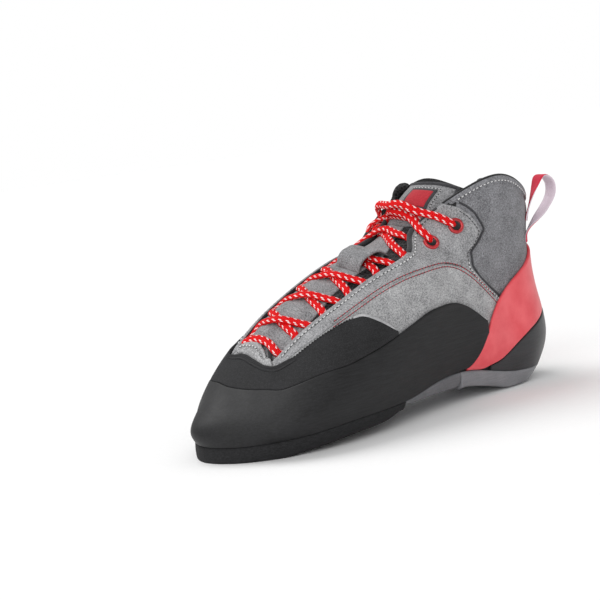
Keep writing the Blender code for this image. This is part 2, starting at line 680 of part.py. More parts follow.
def build_tongue(group, materials):
    rows, cols = 20, 9
    outer = []
    inner = []
    for u in np.linspace(0, 1, rows):
        v = np.linspace(-TONGUE_HALF_WIDTH, TONGUE_HALF_WIDTH, cols)
        thin = TONGUE_THICKNESS * (0.45 + 0.55 * ease((TONGUE_HALF_WIDTH + 0.05 - abs(v)) / 0.6))
        thin = thin * (0.45 + 0.55 * ease(u / 0.12)) * (1 + 0.35 * ease((u - 0.78) / 0.15))
        drop = 0.0012 * ease((u - 0.985) / 0.015)
        outer.append(tongue_face(np.full(cols, u), v, -drop))
        inner.append(tongue_face(np.full(cols, u), v, -thin + drop))
    points, faces = slab_mesh(np.array(outer), np.array(inner))
    new_object("tongue", points, faces, materials["tongue"], group)
    low = float(tongue_place(KEEPER[0]))
    high = float(tongue_place(KEEPER[1]))
    rise = LACE_DIAMETER * (1 + CROSSING_HUMP) + 2 * FIT_GAP + FACET_SPARE
    outer = []
    inner = []
    for u in np.linspace(low, high, 9):
        x = (u - low) / (high - low)
        arch = rise * (1 - abs(2 * x - 1) ** 3)
        v = np.linspace(-KEEPER[2], KEEPER[2], 7)
        base = FIT_GAP + FACET_SPARE + arch
        inner.append(tongue_face(np.full(7, u), v, np.full(7, base)))
        outer.append(tongue_face(np.full(7, u), v, np.full(7, base + KEEPER_THICKNESS)))
    points, faces = slab_mesh(np.array(outer), np.array(inner))
    new_object("tongue_keeper", points, faces, materials["strap"], group)
    outer = tongue_grid(*LABEL, 4, 6, FIT_GAP + FACET_SPARE + LABEL_THICKNESS)
    inner = tongue_grid(*LABEL, 4, 6, FIT_GAP + FACET_SPARE)
    points, faces = slab_mesh(outer, inner)
    new_object("tongue_label", points, faces, materials["label"], group)


# eyelets: flanged rings through the top holes
def build_eyelets(group, material):
    tail = -WALL - FACET_SPARE / 3
    r = EYELET_HOLE_RADIUS
    seat = FIT_GAP + FACET_SPARE / 3
    profile = [(r, tail), (r + EYELET_BARREL, tail), (r + EYELET_BARREL, seat), (EYELET_RADIUS, seat),
               (EYELET_RADIUS - 0.0001, seat + 0.0007), (EYELET_RADIUS - 0.0008, seat + 0.0012),
               (r + 0.0004, seat + 0.0011), (r, seat + 0.0005)]
    for name, station, share in EYELETS:
        centre, axis = eyelet_seat(station, share)
        side, other = cross_axes(axis)
        rings = []
        for a in np.linspace(0, 2 * math.pi, 13)[:-1]:
            out = side * math.cos(a) + other * math.sin(a)
            rings.append([centre + out * radius + axis * height for radius, height in profile])
        points, faces = ring_mesh(rings, closed_path=True)
        new_object(name, points, faces, material, group)


# lace: a bar at the toe end, then crossings, each one solid
def tube(path, radius, sides=6):
    path = np.array(path)
    sections = []
    count = len(path)
    side = None
    for i in range(count):
        ahead = path[min(i + 1, count - 1)] - path[max(i - 1, 0)]
        ahead /= np.linalg.norm(ahead)
        if side is None:
            side, other = cross_axes(ahead)
        else:
            side = side - ahead * np.dot(side, ahead)
            side /= np.linalg.norm(side)
            other = np.cross(ahead, side)
        sections.append([path[i] + radius * (side * math.cos(a) + other * math.sin(a))
                         for a in np.linspace(0, 2 * math.pi, sides + 1)[:-1]])
    return ring_mesh(sections)


def strand(outer_station, inner_station, hump):
    """Path over the tongue from the outer edge to the inner edge."""
    u_outer = float(tongue_place(outer_station))
    u_inner = float(tongue_place(inner_station))
    clear = LACE_DIAMETER / 2 + FIT_GAP + FACET_SPARE
    across = np.linspace(LACE_REACH, -LACE_REACH, 7)
    along = u_outer + (u_inner - u_outer) * (1 - across / LACE_REACH) / 2
    lift = clear + hump * LACE_DIAMETER * np.exp(-(across / 0.30) ** 2)
    return tongue_face(along, across, lift)


def join(first, second):
    union = first.modifiers.new("crossing", "BOOLEAN")
    union.operation = "UNION"
    union.solver = "EXACT"
    union.object = second
    depsgraph = bpy.context.evaluated_depsgraph_get()
    mesh = bpy.data.meshes.new_from_object(first.evaluated_get(depsgraph))
    first.modifiers.clear()
    old = first.data
    first.data = mesh
    bpy.data.meshes.remove(old)
    bpy.data.objects.remove(second, do_unlink=True)


def build_laces(group, material):
    radius = LACE_DIAMETER / 2
    points, faces = tube(strand(BAR_STATION, BAR_STATION, 0.0), radius)
    new_object("lace_bar", points, faces, material, group)
    for number, (low, high) in enumerate(CROSSINGS):
        points, faces = tube(strand(low, high, 0.0), radius)
        first = new_object("lace_cross_%d" % (number + 1), points, faces, material, group)
        points, faces = tube(strand(high, low, CROSSING_HUMP), radius)
        second = new_object("strand", points, faces, material, group)
        join(first, second)
    path = top_strand(0, 1, 0.0)
    points, faces = tube(path, radius)
    first = new_object("lace_top", points, faces, material, group)
    points, faces = tube(top_strand(1, 0, 0.5), radius)
    second = new_object("strand", points, faces, material, group)
    join(first, second)


# outer station where the top strands leave the throat edges
TOP_STRAND_STATION = 8.05


def top_strand(outer_eyelet, inner_eyelet, hump):
    """Path from one eyelet over the flap, the tongue and the other flap to the other eyelet."""
    clear = LACE_DIAMETER / 2 + FIT_GAP + FACET_SPARE
    ends = []
    for number, mirrored in ((outer_eyelet, False), (inner_eyelet + 2, True)):
        station, share = EYELETS[number][1:]
        folded = RIB_COUNT - station if mirrored else station
        marks = []
        for part in (0.45, 1.0):
            here = folded + (TOP_STRAND_STATION - folded) * part
            level = share + (0.985 - share) * part
            place = RIB_COUNT - here if mirrored else here
            marks.append(shell([place], np.array([[level]]), clear)[0, 0])
        ends.append(marks)
    u = float(tongue_place(TONGUE_UNDER[-1][0])) + 0.012
    shares = np.array([0.55, 0.0, -0.55])
    lift = clear + 2 * FACET_SPARE + np.array([0.2, 1.0, 0.2]) * hump * LACE_DIAMETER
    middle = tongue_face(np.full(3, u), shares, lift)
    marks = np.array([ends[0][0], ends[0][1], middle[0], middle[1], middle[2], ends[1][1], ends[1][0]])
    knots = chord_knots(marks)
    return smooth_curve(knots, marks, np.linspace(0, 1, 12))


# pull loops: one ribbon on each side of the heel
LOOP_STATION = 11.75
LOOP_TURN = math.radians(12)
# height % of INSTEP_HEIGHT, reach off the shell % of BALL_WIDTH
LOOP_PATH = [(76.0, 0.0), (80.0, 0.0), (84.5, 2.8), (90.0, 8.8), (96.0, 14.6), (103.0, 18.8), (109.5, 19.4),
             (114.0, 15.6), (115.0, 10.0), (112.5, 4.8), (108.5, 1.2), (104.0, 0.0), (100.0, 0.0)]


def share_at_height(station, height):
    levels = np.linspace(0, 1, 60)
    heights = shell([station], levels[None, :], 0.0)[0, :, 2]
    return float(np.interp(height, heights, levels))


def build_loop(name, station, group, material):
    """Ribbon that leaves the shell, turns over and comes back to it."""
    base = shell([station], np.array([[0.8]]), 0.0)[0, 0]
    out = shell([station], np.array([[0.8]]), 0.01)[0, 0] - base
    out[2] = 0.0
    out /= np.linalg.norm(out)
    side = 1.0 if out[0] > 0 else -1.0
    free = np.array((side * math.sin(LOOP_TURN), math.cos(LOOP_TURN), 0.0))
    foot = LOOP_THICKNESS / 2 + FIT_GAP + FACET_SPARE
    marks = []
    reaches = []
    for height, reach in LOOP_PATH:
        level = SOLE_STACK + height / 100 * INSTEP_HEIGHT
        share = min(share_at_height(station, level), 0.96)
        skin = shell([station], np.array([[share]]), leather_lift(share) - PANEL_STEP + foot)[0, 0]
        skin[2] = level
        marks.append(skin + free * reach / 100 * BALL_WIDTH)
        reaches.append(reach)
    marks = np.array(marks)
    knots = chord_knots(marks)
    at = np.linspace(0, 1, 24)
    path = smooth_curve(knots, marks, at)
    turn = ease(np.interp(at, knots, reaches) / 12.0)
    sections = []
    for i in range(len(path)):
        ahead = path[min(i + 1, len(path) - 1)] - path[max(i - 1, 0)]
        ahead /= np.linalg.norm(ahead)
        facing = out * (1 - turn[i]) + free * turn[i]
        wide = np.array((-facing[1], facing[0], 0.0))
        wide -= ahead * np.dot(wide, ahead)
        wide /= np.linalg.norm(wide)
        thick = np.cross(ahead, wide)
        w = wide * LOOP_WIDTH / 2
        h = thick * LOOP_THICKNESS / 2
        sections.append([path[i] + w + h, path[i] - w + h, path[i] - w - h, path[i] + w - h])
    points, faces = ring_mesh(sections)
    return new_object(name, points, faces, material, group)


def material_of(name, colour, roughness, metallic=0.0):
    material = bpy.data.materials.new(name)
    material.use_nodes = True
    shader = material.node_tree.nodes["Principled BSDF"]
    shader.inputs["Base Color"].default_value = (*colour, 1.0)
    shader.inputs["Roughness"].default_value = roughness
    shader.inputs["Metallic"].default_value = metallic
    return material


def centre_on_floor(things):
    """Shift every solid so that the whole stands over the origin."""
    low = np.full(3, np.inf)
    high = np.full(3, -np.inf)
    for thing in things:
        for vertex in thing.data.vertices:
            place = np.array(vertex.co)
            low = np.minimum(low, place)
            high = np.maximum(high, place)
    shift = np.array(((low[0] + high[0]) / 2, (low[1] + high[1]) / 2, 0.0))
    for thing in list(things):
        for vertex in thing.data.vertices:
            vertex.co = np.array(vertex.co) - shift
    return shift


def main():
    for thing in list(bpy.data.objects):
        bpy.data.objects.remove(thing, do_unlink=True)
    group = bpy.data.collections.new("climbing_shoe")
    cutters = bpy.data.collections.new("cutters")
    bpy.context.scene.collection.children.link(group)
    bpy.context.scene.collection.children.link(cutters)
    materials = {
        "upper": material_of("grey suede", (0.27, 0.27, 0.27), 0.9),
        "rand": material_of("black rand rubber", (0.03, 0.03, 0.032), 0.6),
        "patch": material_of("matt toe patch rubber", (0.035, 0.035, 0.035), 0.85),
        "band": material_of("red heel rubber", (0.62, 0.04, 0.05), 0.45),
        "cup": material_of("black heel rubber", (0.03, 0.03, 0.03), 0.6),
        "sole": material_of("black sole rubber", (0.025, 0.025, 0.025), 0.75),
        "arch": material_of("black arch rubber", (0.03, 0.03, 0.03), 0.5),
        "insole": material_of("grey insole felt", (0.12, 0.12, 0.12), 0.95),
        "tongue": material_of("grey tongue suede", (0.2, 0.2, 0.2), 0.9),
        "strap": material_of("grey keeper suede", (0.3, 0.3, 0.3), 0.9),
        "label": material_of("red woven label", (0.5, 0.03, 0.06), 0.8),
        "eyelet": material_of("red painted metal", (0.55, 0.03, 0.05), 0.3, 0.6),
        "lace": material_of("red lace", (0.75, 0.02, 0.02), 0.8),
        "loop_red": material_of("red ribbon", (0.5, 0.02, 0.07), 0.7),
        "loop_black": material_of("black ribbon", (0.03, 0.03, 0.03), 0.7),
    }
    build_upper(group, cutters, materials["upper"])
    build_rubber(group, materials)
    build_sole(group, materials)
    build_insole(group, materials["insole"])
    build_tongue(group, materials)
    build_eyelets(group, materials["eyelet"])
    build_laces(group, materials["lace"])
    build_loop("pull_loop_outer", LOOP_STATION, group, materials["loop_red"])
    build_loop("pull_loop_inner", RIB_COUNT - LOOP_STATION, group, materials["loop_black"])
    things = list(group.objects)
    shift = centre_on_floor(things)
    for cutter in cutters.objects:
        for vertex in cutter.data.vertices:
            vertex.co = np.array(vertex.co) - shift
    return shift


main()
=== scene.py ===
# looks of a laced climbing shoe: left foot, empty, toe to -Y, outer side +X, floor z = 0
import json
import math

import bmesh
import bpy
import numpy as np
from mathutils import Matrix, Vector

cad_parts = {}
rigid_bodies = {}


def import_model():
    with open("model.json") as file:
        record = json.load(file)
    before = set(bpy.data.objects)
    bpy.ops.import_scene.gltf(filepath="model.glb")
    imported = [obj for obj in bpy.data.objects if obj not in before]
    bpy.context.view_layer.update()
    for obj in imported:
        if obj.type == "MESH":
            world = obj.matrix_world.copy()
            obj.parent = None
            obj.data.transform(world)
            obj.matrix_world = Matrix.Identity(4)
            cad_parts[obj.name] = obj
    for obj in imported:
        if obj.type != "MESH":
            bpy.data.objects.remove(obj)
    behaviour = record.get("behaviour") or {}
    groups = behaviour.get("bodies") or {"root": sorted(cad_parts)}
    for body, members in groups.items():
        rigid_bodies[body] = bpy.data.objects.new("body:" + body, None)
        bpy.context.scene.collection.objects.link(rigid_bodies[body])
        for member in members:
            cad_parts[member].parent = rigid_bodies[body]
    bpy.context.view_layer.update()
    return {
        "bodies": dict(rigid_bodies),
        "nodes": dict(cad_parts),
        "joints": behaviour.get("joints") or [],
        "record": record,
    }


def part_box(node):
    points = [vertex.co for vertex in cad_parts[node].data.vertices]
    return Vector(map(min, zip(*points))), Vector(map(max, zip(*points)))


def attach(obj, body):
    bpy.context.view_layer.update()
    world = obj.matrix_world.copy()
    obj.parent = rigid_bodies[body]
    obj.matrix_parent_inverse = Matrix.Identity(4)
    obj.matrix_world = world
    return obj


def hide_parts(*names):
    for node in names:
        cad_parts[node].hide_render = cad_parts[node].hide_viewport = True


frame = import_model()
MM = 0.001

# driving sizes of the last and of what lies on it, as the construction has them
LENGTH = 0.250
BALL_WIDTH = 0.092
INSTEP_HEIGHT = 0.100
SOLE_STACK = 0.009
WALL = 0.0018
COLLAR_PADDING = 0.0012
RUBBER = 0.0018
FIT_GAP = 0.00035
PANEL_STEP = 0.0008
FOREFOOT_SOLE_END = 0.448
ARCH_END = 0.660
ARCH_SET_BACK = 0.0028
INSOLE_THICKNESS = 0.0022
TONGUE_THICKNESS = 0.0042
TONGUE_RISE = 0.0020
LACE_DIAMETER = 0.0044
EYELET_RADIUS = 0.0044
EYELET_HOLE_RADIUS = 0.0023
LOOP_WIDTH = 0.0110
LOOP_THICKNESS = 0.0012
RUBBER_SEAM = 0.0062

# ribs of the last: toe, outer 1 to 12, heel, inner 12 to 1.
# every rib is five points (feather, widest, flank, shoulder, opening edge),
# each as along % of LENGTH, across % of BALL_WIDTH, up % of INSTEP_HEIGHT
RIBS = [
    ((-48, -15.8, 0), (-49.4, -16.3, 6), (-45.2, -16.3, 19), (-38.8, -14.1, 30), (-31.6, -7.6, 45)),
    ((-44.6, 15, 0), (-45, 16.3, 6.5), (-41.6, 14.1, 18), (-36.8, 9.8, 28), (-32.8, 3.3, 42)),
    ((-38, 31.5, 1), (-39.2, 36.4, 8), (-37.2, 33.7, 19), (-34.4, 23.9, 29), (-32.4, 10.9, 41)),
    ((-31.2, 41.3, 2.5), (-31.6, 46.2, 11), (-30.8, 41.8, 25), (-29.2, 29.3, 37), (-27.6, 12, 48.5)),
    ((-22, 45.7, 4.5), (-22, 49.5, 14), (-21.6, 45.7, 31), (-21.2, 33.7, 47), (-20.4, 16.3, 59)),
    ((-12, 43.5, 4.8), (-12, 46.7, 17), (-12, 44.6, 36), (-12.4, 35.9, 55), (-12.8, 19.6, 68)),
    ((-1.6, 38, 6), (-1.6, 41.8, 19), (-2, 42.4, 43), (-2.8, 38, 64), (-3.6, 23.9, 78)),
    ((8.8, 33.2, 10), (8.8, 37.5, 19), (8, 40.2, 46), (7.2, 38, 73), (5.2, 26.1, 87)),
    ((17.6, 31, 9.8), (17.6, 35.3, 18), (16.8, 38.6, 49), (14.4, 34.8, 81), (10, 17.4, 98)),
    ((24.8, 30.4, 6.2), (24.8, 34.8, 16), (24, 37.5, 53), (22.4, 35.9, 89), (20.8, 28.3, 113)),
    ((32, 30.4, 2.2), (32, 33.7, 15), (31.6, 34.8, 51), (32, 35.3, 89), (32, 36.4, 120.5)),
    ((39.6, 28, 0.4), (40.2, 32.6, 14), (39.8, 31.5, 48), (39.9, 30, 84), (40.7, 32.6, 113.5)),
    ((45.6, 17.4, 0), (47.6, 21.6, 15), (46.2, 20.4, 48), (45.8, 18.4, 78), (47.2, 19.6, 104.5)),
    ((47.4, 0, 0), (50.4, 0, 16), (49.2, 0, 50), (48.4, 0, 79), (49.8, 0, 100.5)),
    ((45.6, -16.6, 0), (47.4, -20.4, 15), (46, -19.4, 48), (45.6, -18, 78), (47.2, -19.6, 104.5)),
    ((39.4, -27, 0.4), (40, -31.2, 14), (39.6, -30.2, 48), (39.8, -29.6, 84), (40.7, -32.6, 113.5)),
    ((32, -30.4, 2.2), (32, -33.7, 15), (31.6, -34.8, 51), (32, -35.3, 89), (32, -36.4, 120.5)),
    ((24.8, -29.9, 6.2), (24.8, -33.7, 17), (24, -36.4, 53), (22.4, -34.8, 89), (20.8, -28.3, 113)),
    ((17.6, -29.3, 9.8), (17.6, -33.2, 21), (16.8, -37.5, 51), (14.4, -33.7, 83), (11.2, -17.4, 99)),
    ((8.8, -29.9, 11), (8.8, -33.7, 24), (8, -38, 49), (6.8, -34.8, 75), (5.2, -20.7, 90)),
    ((-1.6, -34.2, 12), (-1.6, -38.6, 25), (-2, -41.3, 47), (-2.8, -37, 69), (-3.6, -21.7, 84.5)),
    ((-12, -41.3, 10), (-12, -45.7, 22), (-12, -45.1, 43), (-12.4, -38, 62), (-12.8, -22.8, 76)),
    ((-22, -47.3, 6), (-22, -50.5, 16), (-22, -48.4, 36), (-21.6, -38.5, 54), (-21.2, -23.9, 66)),
    ((-31.2, -47.3, 2.5), (-31.6, -51.1, 11), (-31.2, -48, 27), (-30, -38.6, 42.5), (-28.4, -24.4, 55)),
    ((-39.4, -46.5, 0.5), (-39.6, -47.8, 8), (-38.4, -43.8, 21.5), (-35.8, -35.5, 34), (-32.6, -23.4, 45.5)),
    ((-45, -33, 0), (-44.8, -33.7, 6), (-42.2, -32, 19.5), (-38, -24.4, 31.5), (-32, -16.3, 44.5)),
]
# how high the pieces of the shell reach: station (rib number), share of the rib
RAND_TOP = [(-8.9, .28), (-8.2, .385), (-7.6, .46), (-6.7, .54), (-5.9, .53), (-5.0, .49), (-4.0, .46),
            (-2.9, .50), (-1.5, .58), (0.0, .60), (1.5, .64), (2.9, .515), (4.0, .456), (5.0, .48),
            (5.66, .506), (6.2, .531), (6.7, .55), (7.45, .488), (8.1, .394), (8.9, .28)]
PATCH_TOP = [(-5.6, .525), (-5.3, .62), (-4.9, .775), (-4.5, .79), (-3.7, .765), (-2.9, .79),
             (-2.4, .86), (-1.7, .93), (-0.8, .93), (0.3, .92), (1.6, .93), (2.4, .87), (2.9, .815),
             (3.4, .805), (3.9, .805), (4.55, .797), (4.95, .772), (5.4, .61), (5.62, .522)]
BAND_TOP = [(7.97, .01), (8.12, .03), (8.27, .075), (8.50, .16), (8.97, .285), (9.42, .365), (9.95, .43),
            (11.12, .575), (11.95, .69), (13.0, .79), (14.1, .69), (14.92, .581), (16.2, .47), (17.0, .40),
            (17.7, .29), (18.5, .15), (19.1, .05), (19.3, .02)]
BAND_FOOT = [(7.5, 0.0), (8.6667, 0.0), (9.0, .035), (9.3333, .052), (9.8, .10), (10.95, .238), (12.06, .35),
             (13.0, .40), (13.9, .35), (15.05, .238), (16.2, .10), (16.6667, .052), (17.0, .035),
             (17.3333, 0.0), (19.3, 0.0)]
# front edge of the ankle panel: share of the rib, station
PANEL_LINE = [(0.0, 10.0), (.30, 10.05), (.39, 9.67), (.463, 9.16), (.537, 8.77), (.606, 8.55), (.688, 8.62),
              (.72, 9.0), (.763, 9.26), (.869, 9.09), (.938, 8.92), (1.0, 8.72)]
# middle of the double seam that holds the eyestay on the quarter: station, share of the rib
EYESTAY_SEAM = [(3.3, .83), (4.0, .84), (4.59, .85), (5.69, .863), (6.62, .856), (7.43, .75), (8.07, .631),
                (8.75, .519), (9.45, .388), (10.0, .30)]
EYELETS = [("eyelet_outer_low", 7.87, .862), ("eyelet_outer_high", 8.66, .856),
           ("eyelet_inner_low", 18.13, .862), ("eyelet_inner_high", 17.34, .856)]
# sole from toe to heel: along % of LENGTH, inset of the outer and inner bottom edge % of BALL_WIDTH,
# height of the outer and inner bottom edge % of INSTEP_HEIGHT
SOLE_ROWS = [
    (-50.0, 0.0, 0.0, 0.0, 0.0), (-44.0, 1.0, 0.5, 0.0, 0.0), (-36.8, 3.5, 2.0, 0.0, 0.0),
    (-32.0, 5.0, 3.0, 2.0, 1.5), (-22.0, 5.2, 4.0, 4.6, 3.6), (-12.0, 4.5, 5.0, 5.6, 6.4),
    (-8.6, 4.2, 5.0, 6.9, 8.0), (-5.2, 4.0, 5.0, 9.8, 10.2), (-4.2, 4.0, 5.0, 7.4, 8.6),
    (4.0, 3.0, 4.0, 7.8, 10.6), (12.0, 2.5, 3.5, 7.6, 9.8), (15.2, 2.5, 3.0, 7.8, 9.2),
    (16.0, 2.5, 3.0, 9.4, 10.0), (21.0, 2.5, 3.0, 7.2, 7.2), (26.8, 3.2, 3.2, 3.8, 3.8),
    (31.6, 4.2, 4.0, 0.2, 0.2), (32.4, 4.4, 4.0, 0.0, 0.0), (37.4, 4.8, 4.4, 0.0, 0.0),
    (41.0, 5.0, 4.8, 1.4, 1.4), (43.6, 5.2, 5.0, 3.0, 3.0), (46.4, 5.8, 5.6, 5.4, 5.4),
    (50.0, 6.0, 6.0, 8.2, 8.2),
]
TOE_SLIDE = -0.0005
HEEL_SLIDE = -0.0035
# tongue rows that lie under the laces: outer station, share of TONGUE_RISE
TONGUE_UNDER = [(1.55, -.60), (1.9, .05), (2.5, .80), (3.3, 1.0), (4.1, 1.0), (4.9, 1.0), (5.7, 1.0),
                (6.4, 1.0), (7.0, .9), (7.6, .8), (8.2, .7)]
# free end of the tongue: crest along %, crest up %, then side points as across %, set back %, drop %
TONGUE_FREE = [
    (13.6, 110.5, (15.0, 2.2, 2.5), (22.5, 5.2, 6.5)),
    (16.8, 116.5, (15.0, 2.2, 2.0), (22.5, 5.2, 6.0)),
    (19.2, 120.6, (14.5, 2.2, 1.6), (21.5, 5.0, 5.0)),
]
KEEPER = (5.76, 6.62)
# crossings of the lace: outer station of the lower and the upper end
CROSSINGS = [(3.24, 3.74), (4.24, 4.78), (5.14, 5.60), (5.98, 6.38), (6.75, 7.68)]
BAR_STATION = 2.50
LOOP_STATION = 11.75
LOOP_TURN = math.radians(12)
# height % of INSTEP_HEIGHT, reach off the shell % of BALL_WIDTH
LOOP_PATH = [(76.0, 0.0), (80.0, 0.0), (84.5, 2.8), (90.0, 8.8), (96.0, 14.6), (103.0, 18.8), (109.5, 19.4),
             (114.0, 16.0), (115.0, 12.0), (111.0, 8.4), (105.5, 5.2), (100.0, 2.7), (94.0, 0.9), (89.0, 0.1)]
# soft troughs (-) and ridges (+) of the upper: from station, share, to station, share, width mm, depth mm
CREASES = [
    (5.9, .62, 6.9, .80, 4.5, -.5), (7.2, .52, 7.9, .66, 5.0, -.5), (6.4, .60, 7.3, .74, 5.0, .35),
    (9.5, .55, 10.6, .50, 5.0, -.9), (9.6, .76, 10.8, .70, 6.5, -.9), (9.7, .92, 11.3, .86, 5.0, .5),
    (16.4, .55, 15.4, .50, 5.0, -.9), (16.3, .76, 15.2, .70, 6.5, -.9), (18.4, .60, 19.2, .72, 5.0, -.5),
    (19.9, .62, 19.2, .80, 4.5, -.5), (4.3, .60, 5.2, .74, 4.0, -.3), (22.2, .62, 21.4, .74, 4.0, -.3),
]


def spline_moments(knots, values):
    """Bends of the curve at its knots: none at the ends, or smooth all round if a last knot closes it."""
    count = len(values)
    ring = len(knots) == count + 1
    steps = np.diff(knots)
    rows = np.zeros((count, count))
    right = np.zeros_like(values)
    for i in range(count):
        if not ring and i in (0, count - 1):
            rows[i, i] = 1.0
            continue
        before, after = steps[i - 1], steps[i]
        rows[i, (i - 1) % count] += before
        rows[i, i] += 2 * (before + after)
        rows[i, (i + 1) % count] += after
        right[i] = 6 * ((values[(i + 1) % count] - values[i]) / after - (values[i] - values[i - 1]) / before)
    return np.linalg.solve(rows, right.reshape(count, -1)).reshape(values.shape)


def cubic(first, last, first_bend, last_bend, part, span):
    """Cubic between two knots, a part of the way along their span."""
    rest = 1 - part
    bend = ((rest ** 3 - rest) * first_bend + (part ** 3 - part) * last_bend) * span * span / 6
    return rest * first + part * last + bend


def smooth_curve(knots, values, at, moments=None):
    """Cubic curve through the values; one more knot than values means a closed ring."""
    knots, values, at = (np.asarray(one, float) for one in (knots, values, at))
    if moments is None:
        moments = spline_moments(knots, values)
    if len(knots) == len(values) + 1:
        at = knots[0] + np.mod(at - knots[0], knots[-1] - knots[0])
    i = np.clip(np.searchsorted(knots, at, side="right") - 1, 0, len(knots) - 2)
    j = (i + 1) % len(values)
    shape = at.shape + (1,) * (values.ndim - 1)
    span = (knots[i + 1] - knots[i]).reshape(shape)
    return cubic(values[i], values[j], moments[i], moments[j], (at - knots[i]).reshape(shape) / span, span)


def chord_knots(points):
    steps = np.linalg.norm(np.diff(points, axis=0), axis=-1)
    while steps.ndim > 1:
        steps = steps.mean(axis=-1)
    knots = np.concatenate([[0.0], np.cumsum(steps)])
    return knots / knots[-1]


def run_of(points, axis=0):
    """How far along an axis of the grid each point lies."""
    steps = np.linalg.norm(np.diff(points, axis=axis), axis=-1)
    start = np.zeros_like(np.take(steps, [0], axis=axis))
    return np.concatenate([start, np.cumsum(steps, axis=axis)], axis=axis)


def read_off(at, run, values):
    """Vectors read off a line at given places."""
    return np.stack([np.interp(at, run, values[:, k]) for k in range(3)], axis=1)


def resample(points, spacing):
    """Even points along a line, and how far along each lies."""
    run = run_of(points)
    at = np.linspace(0, run[-1], max(2, int(run[-1] / spacing) + 1))
    return read_off(at, run, points), at


def unit(vectors):
    return vectors / np.linalg.norm(vectors, axis=-1, keepdims=True)


def apart(points, others):
    return np.linalg.norm(points - others, axis=-1)


def raised(frame, lift):
    """Points moved off a surface along its normals."""
    point, normal = frame
    return point + normal * np.broadcast_to(lift, point.shape[:-1])[..., None]


def ease(x):
    x = np.clip(x, 0.0, 1.0)
    return x * x * (3 - 2 * x)


def edge_fall(room, reach, height=None):
    """How far a rounded edge falls, from the room left to the edge."""
    drop = 1 - np.clip(room / reach, 0, 1)
    return (height or reach) * (1 - np.sqrt(np.clip(1 - drop ** 2, 0, 1)))


# the last's points in metres: ribs along and across, in the order x, y, z
LAST = np.array(RIBS, float)[..., [1, 0, 2]] / 100 * (BALL_WIDTH, LENGTH, INSTEP_HEIGHT) + (0, 0, SOLE_STACK)
RING = chord_knots(np.concatenate([LAST, LAST[:1]])[:, 1:4])
RING_MOMENTS = spline_moments(RING, LAST)
RIB_COUNT = len(RIBS)
HEEL_RIB = RIB_COUNT // 2


def station_to_ring(station):
    turns = np.floor(np.asarray(station, float) / RIB_COUNT)
    return turns + np.interp(station - turns * RIB_COUNT, np.arange(RIB_COUNT + 1), RING)


def along_ribs(ring, share):
    """Points of the last: every place on the ring has its own rib, curved through its five points."""
    ribs = smooth_curve(RING, LAST, ring, RING_MOMENTS)
    knots = run_of(ribs, 1)
    knots /= knots[:, -1:]
    span = np.diff(knots, axis=1)
    slope = np.diff(ribs, axis=1) / span[..., None]
    rows = np.zeros((len(ring), 3, 3))
    for k in range(3):
        rows[:, k, k] = 2 * (span[:, k] + span[:, k + 1])
    for k in range(2):
        rows[:, k, k + 1] = rows[:, k + 1, k] = span[:, k + 1]
    moments = np.zeros_like(ribs)
    moments[:, 1:4] = np.linalg.solve(rows, 6 * np.diff(slope, axis=1))
    i = (share[..., None] >= knots[:, None, 1:4]).sum(axis=-1)
    k = np.arange(len(ring))[:, None]
    wide = span[k, i][..., None]
    part = (share - knots[k, i])[..., None] / wide
    return cubic(ribs[k, i], ribs[k, i + 1], moments[k, i], moments[k, i + 1], part, wide)


def shell_frame(station, share):
    """Point on the last and the direction off it, for stations and shares of one shape."""
    station, share = np.broadcast_arrays(np.asarray(station, float), np.asarray(share, float))
    level = share.reshape(-1, 1)
    ring = station_to_ring(station.reshape(-1))
    beside, above = 3e-4, 1e-3
    point = along_ribs(ring, level)[:, 0]
    around = along_ribs(ring + beside, level)[:, 0] - along_ribs(ring - beside, level)[:, 0]
    upward = (along_ribs(ring, np.clip(level + above, 0, 1))[:, 0]
              - along_ribs(ring, np.clip(level - above, 0, 1))[:, 0])
    normal = unit(np.cross(around, upward))
    normal[:, 2] *= np.clip(level[:, 0] / 0.08, 0, 1)
    return point.reshape(station.shape + (3,)), unit(normal).reshape(station.shape + (3,))


def shell(station, share, lift=0.0):
    return raised(shell_frame(station, share), lift)


def seam_frame(station, share, lift):
    """Points of a seam on the shell and the direction off it."""
    frame = shell_frame(station, share)
    return raised(frame, lift), frame[1]


def leather_lift(share):
    """Leather lies below the last's outer line where rubber covers it."""
    return -(RUBBER + FIT_GAP) * (1 - ease((np.asarray(share) - 0.15) / 0.75))


def rib_length(station):
    """Length of the rib from feather to opening edge, so that a share can be had from millimetres."""
    station = np.atleast_1d(np.asarray(station, float))
    levels = np.broadcast_to(np.linspace(0, 1, 24), (len(station), 24))
    return run_of(along_ribs(station_to_ring(station), levels), 1)[:, -1]


def row_height(table, station):
    return np.interp(station, [row[0] for row in table], [row[1] for row in table])


def soft_row(table, station, reach=0.22, count=9):
    """The table's line with its corners worn round."""
    steps = np.linspace(-reach, reach, count)
    return np.mean([row_height(table, np.asarray(station, float) + step) for step in steps], axis=0)


def panel_line(share):
    return soft_row(PANEL_LINE, share, 0.008, 7)


def folded(station):
    """Station counted from the toe on both sides."""
    station = np.mod(station, RIB_COUNT)
    return np.minimum(station, RIB_COUNT - station)


def fine_stations(first, last, step=0.045):
    return np.linspace(first, last, int((last - first) / step) + 1)


def circle_of(axis, count):
    """Directions round an axis, from its level one."""
    side = unit(np.cross(axis, (0.0, 0.0, 1.0)))
    other = np.cross(axis, side)
    return [side * math.cos(a) + other * math.sin(a) for a in np.linspace(0, 2 * math.pi, count + 1)[:-1]]


def eyelet_seat(station, share):
    centre, axis = shell_frame([station], [share])
    return centre[0] + axis[0] * float(leather_lift(share)), axis[0]


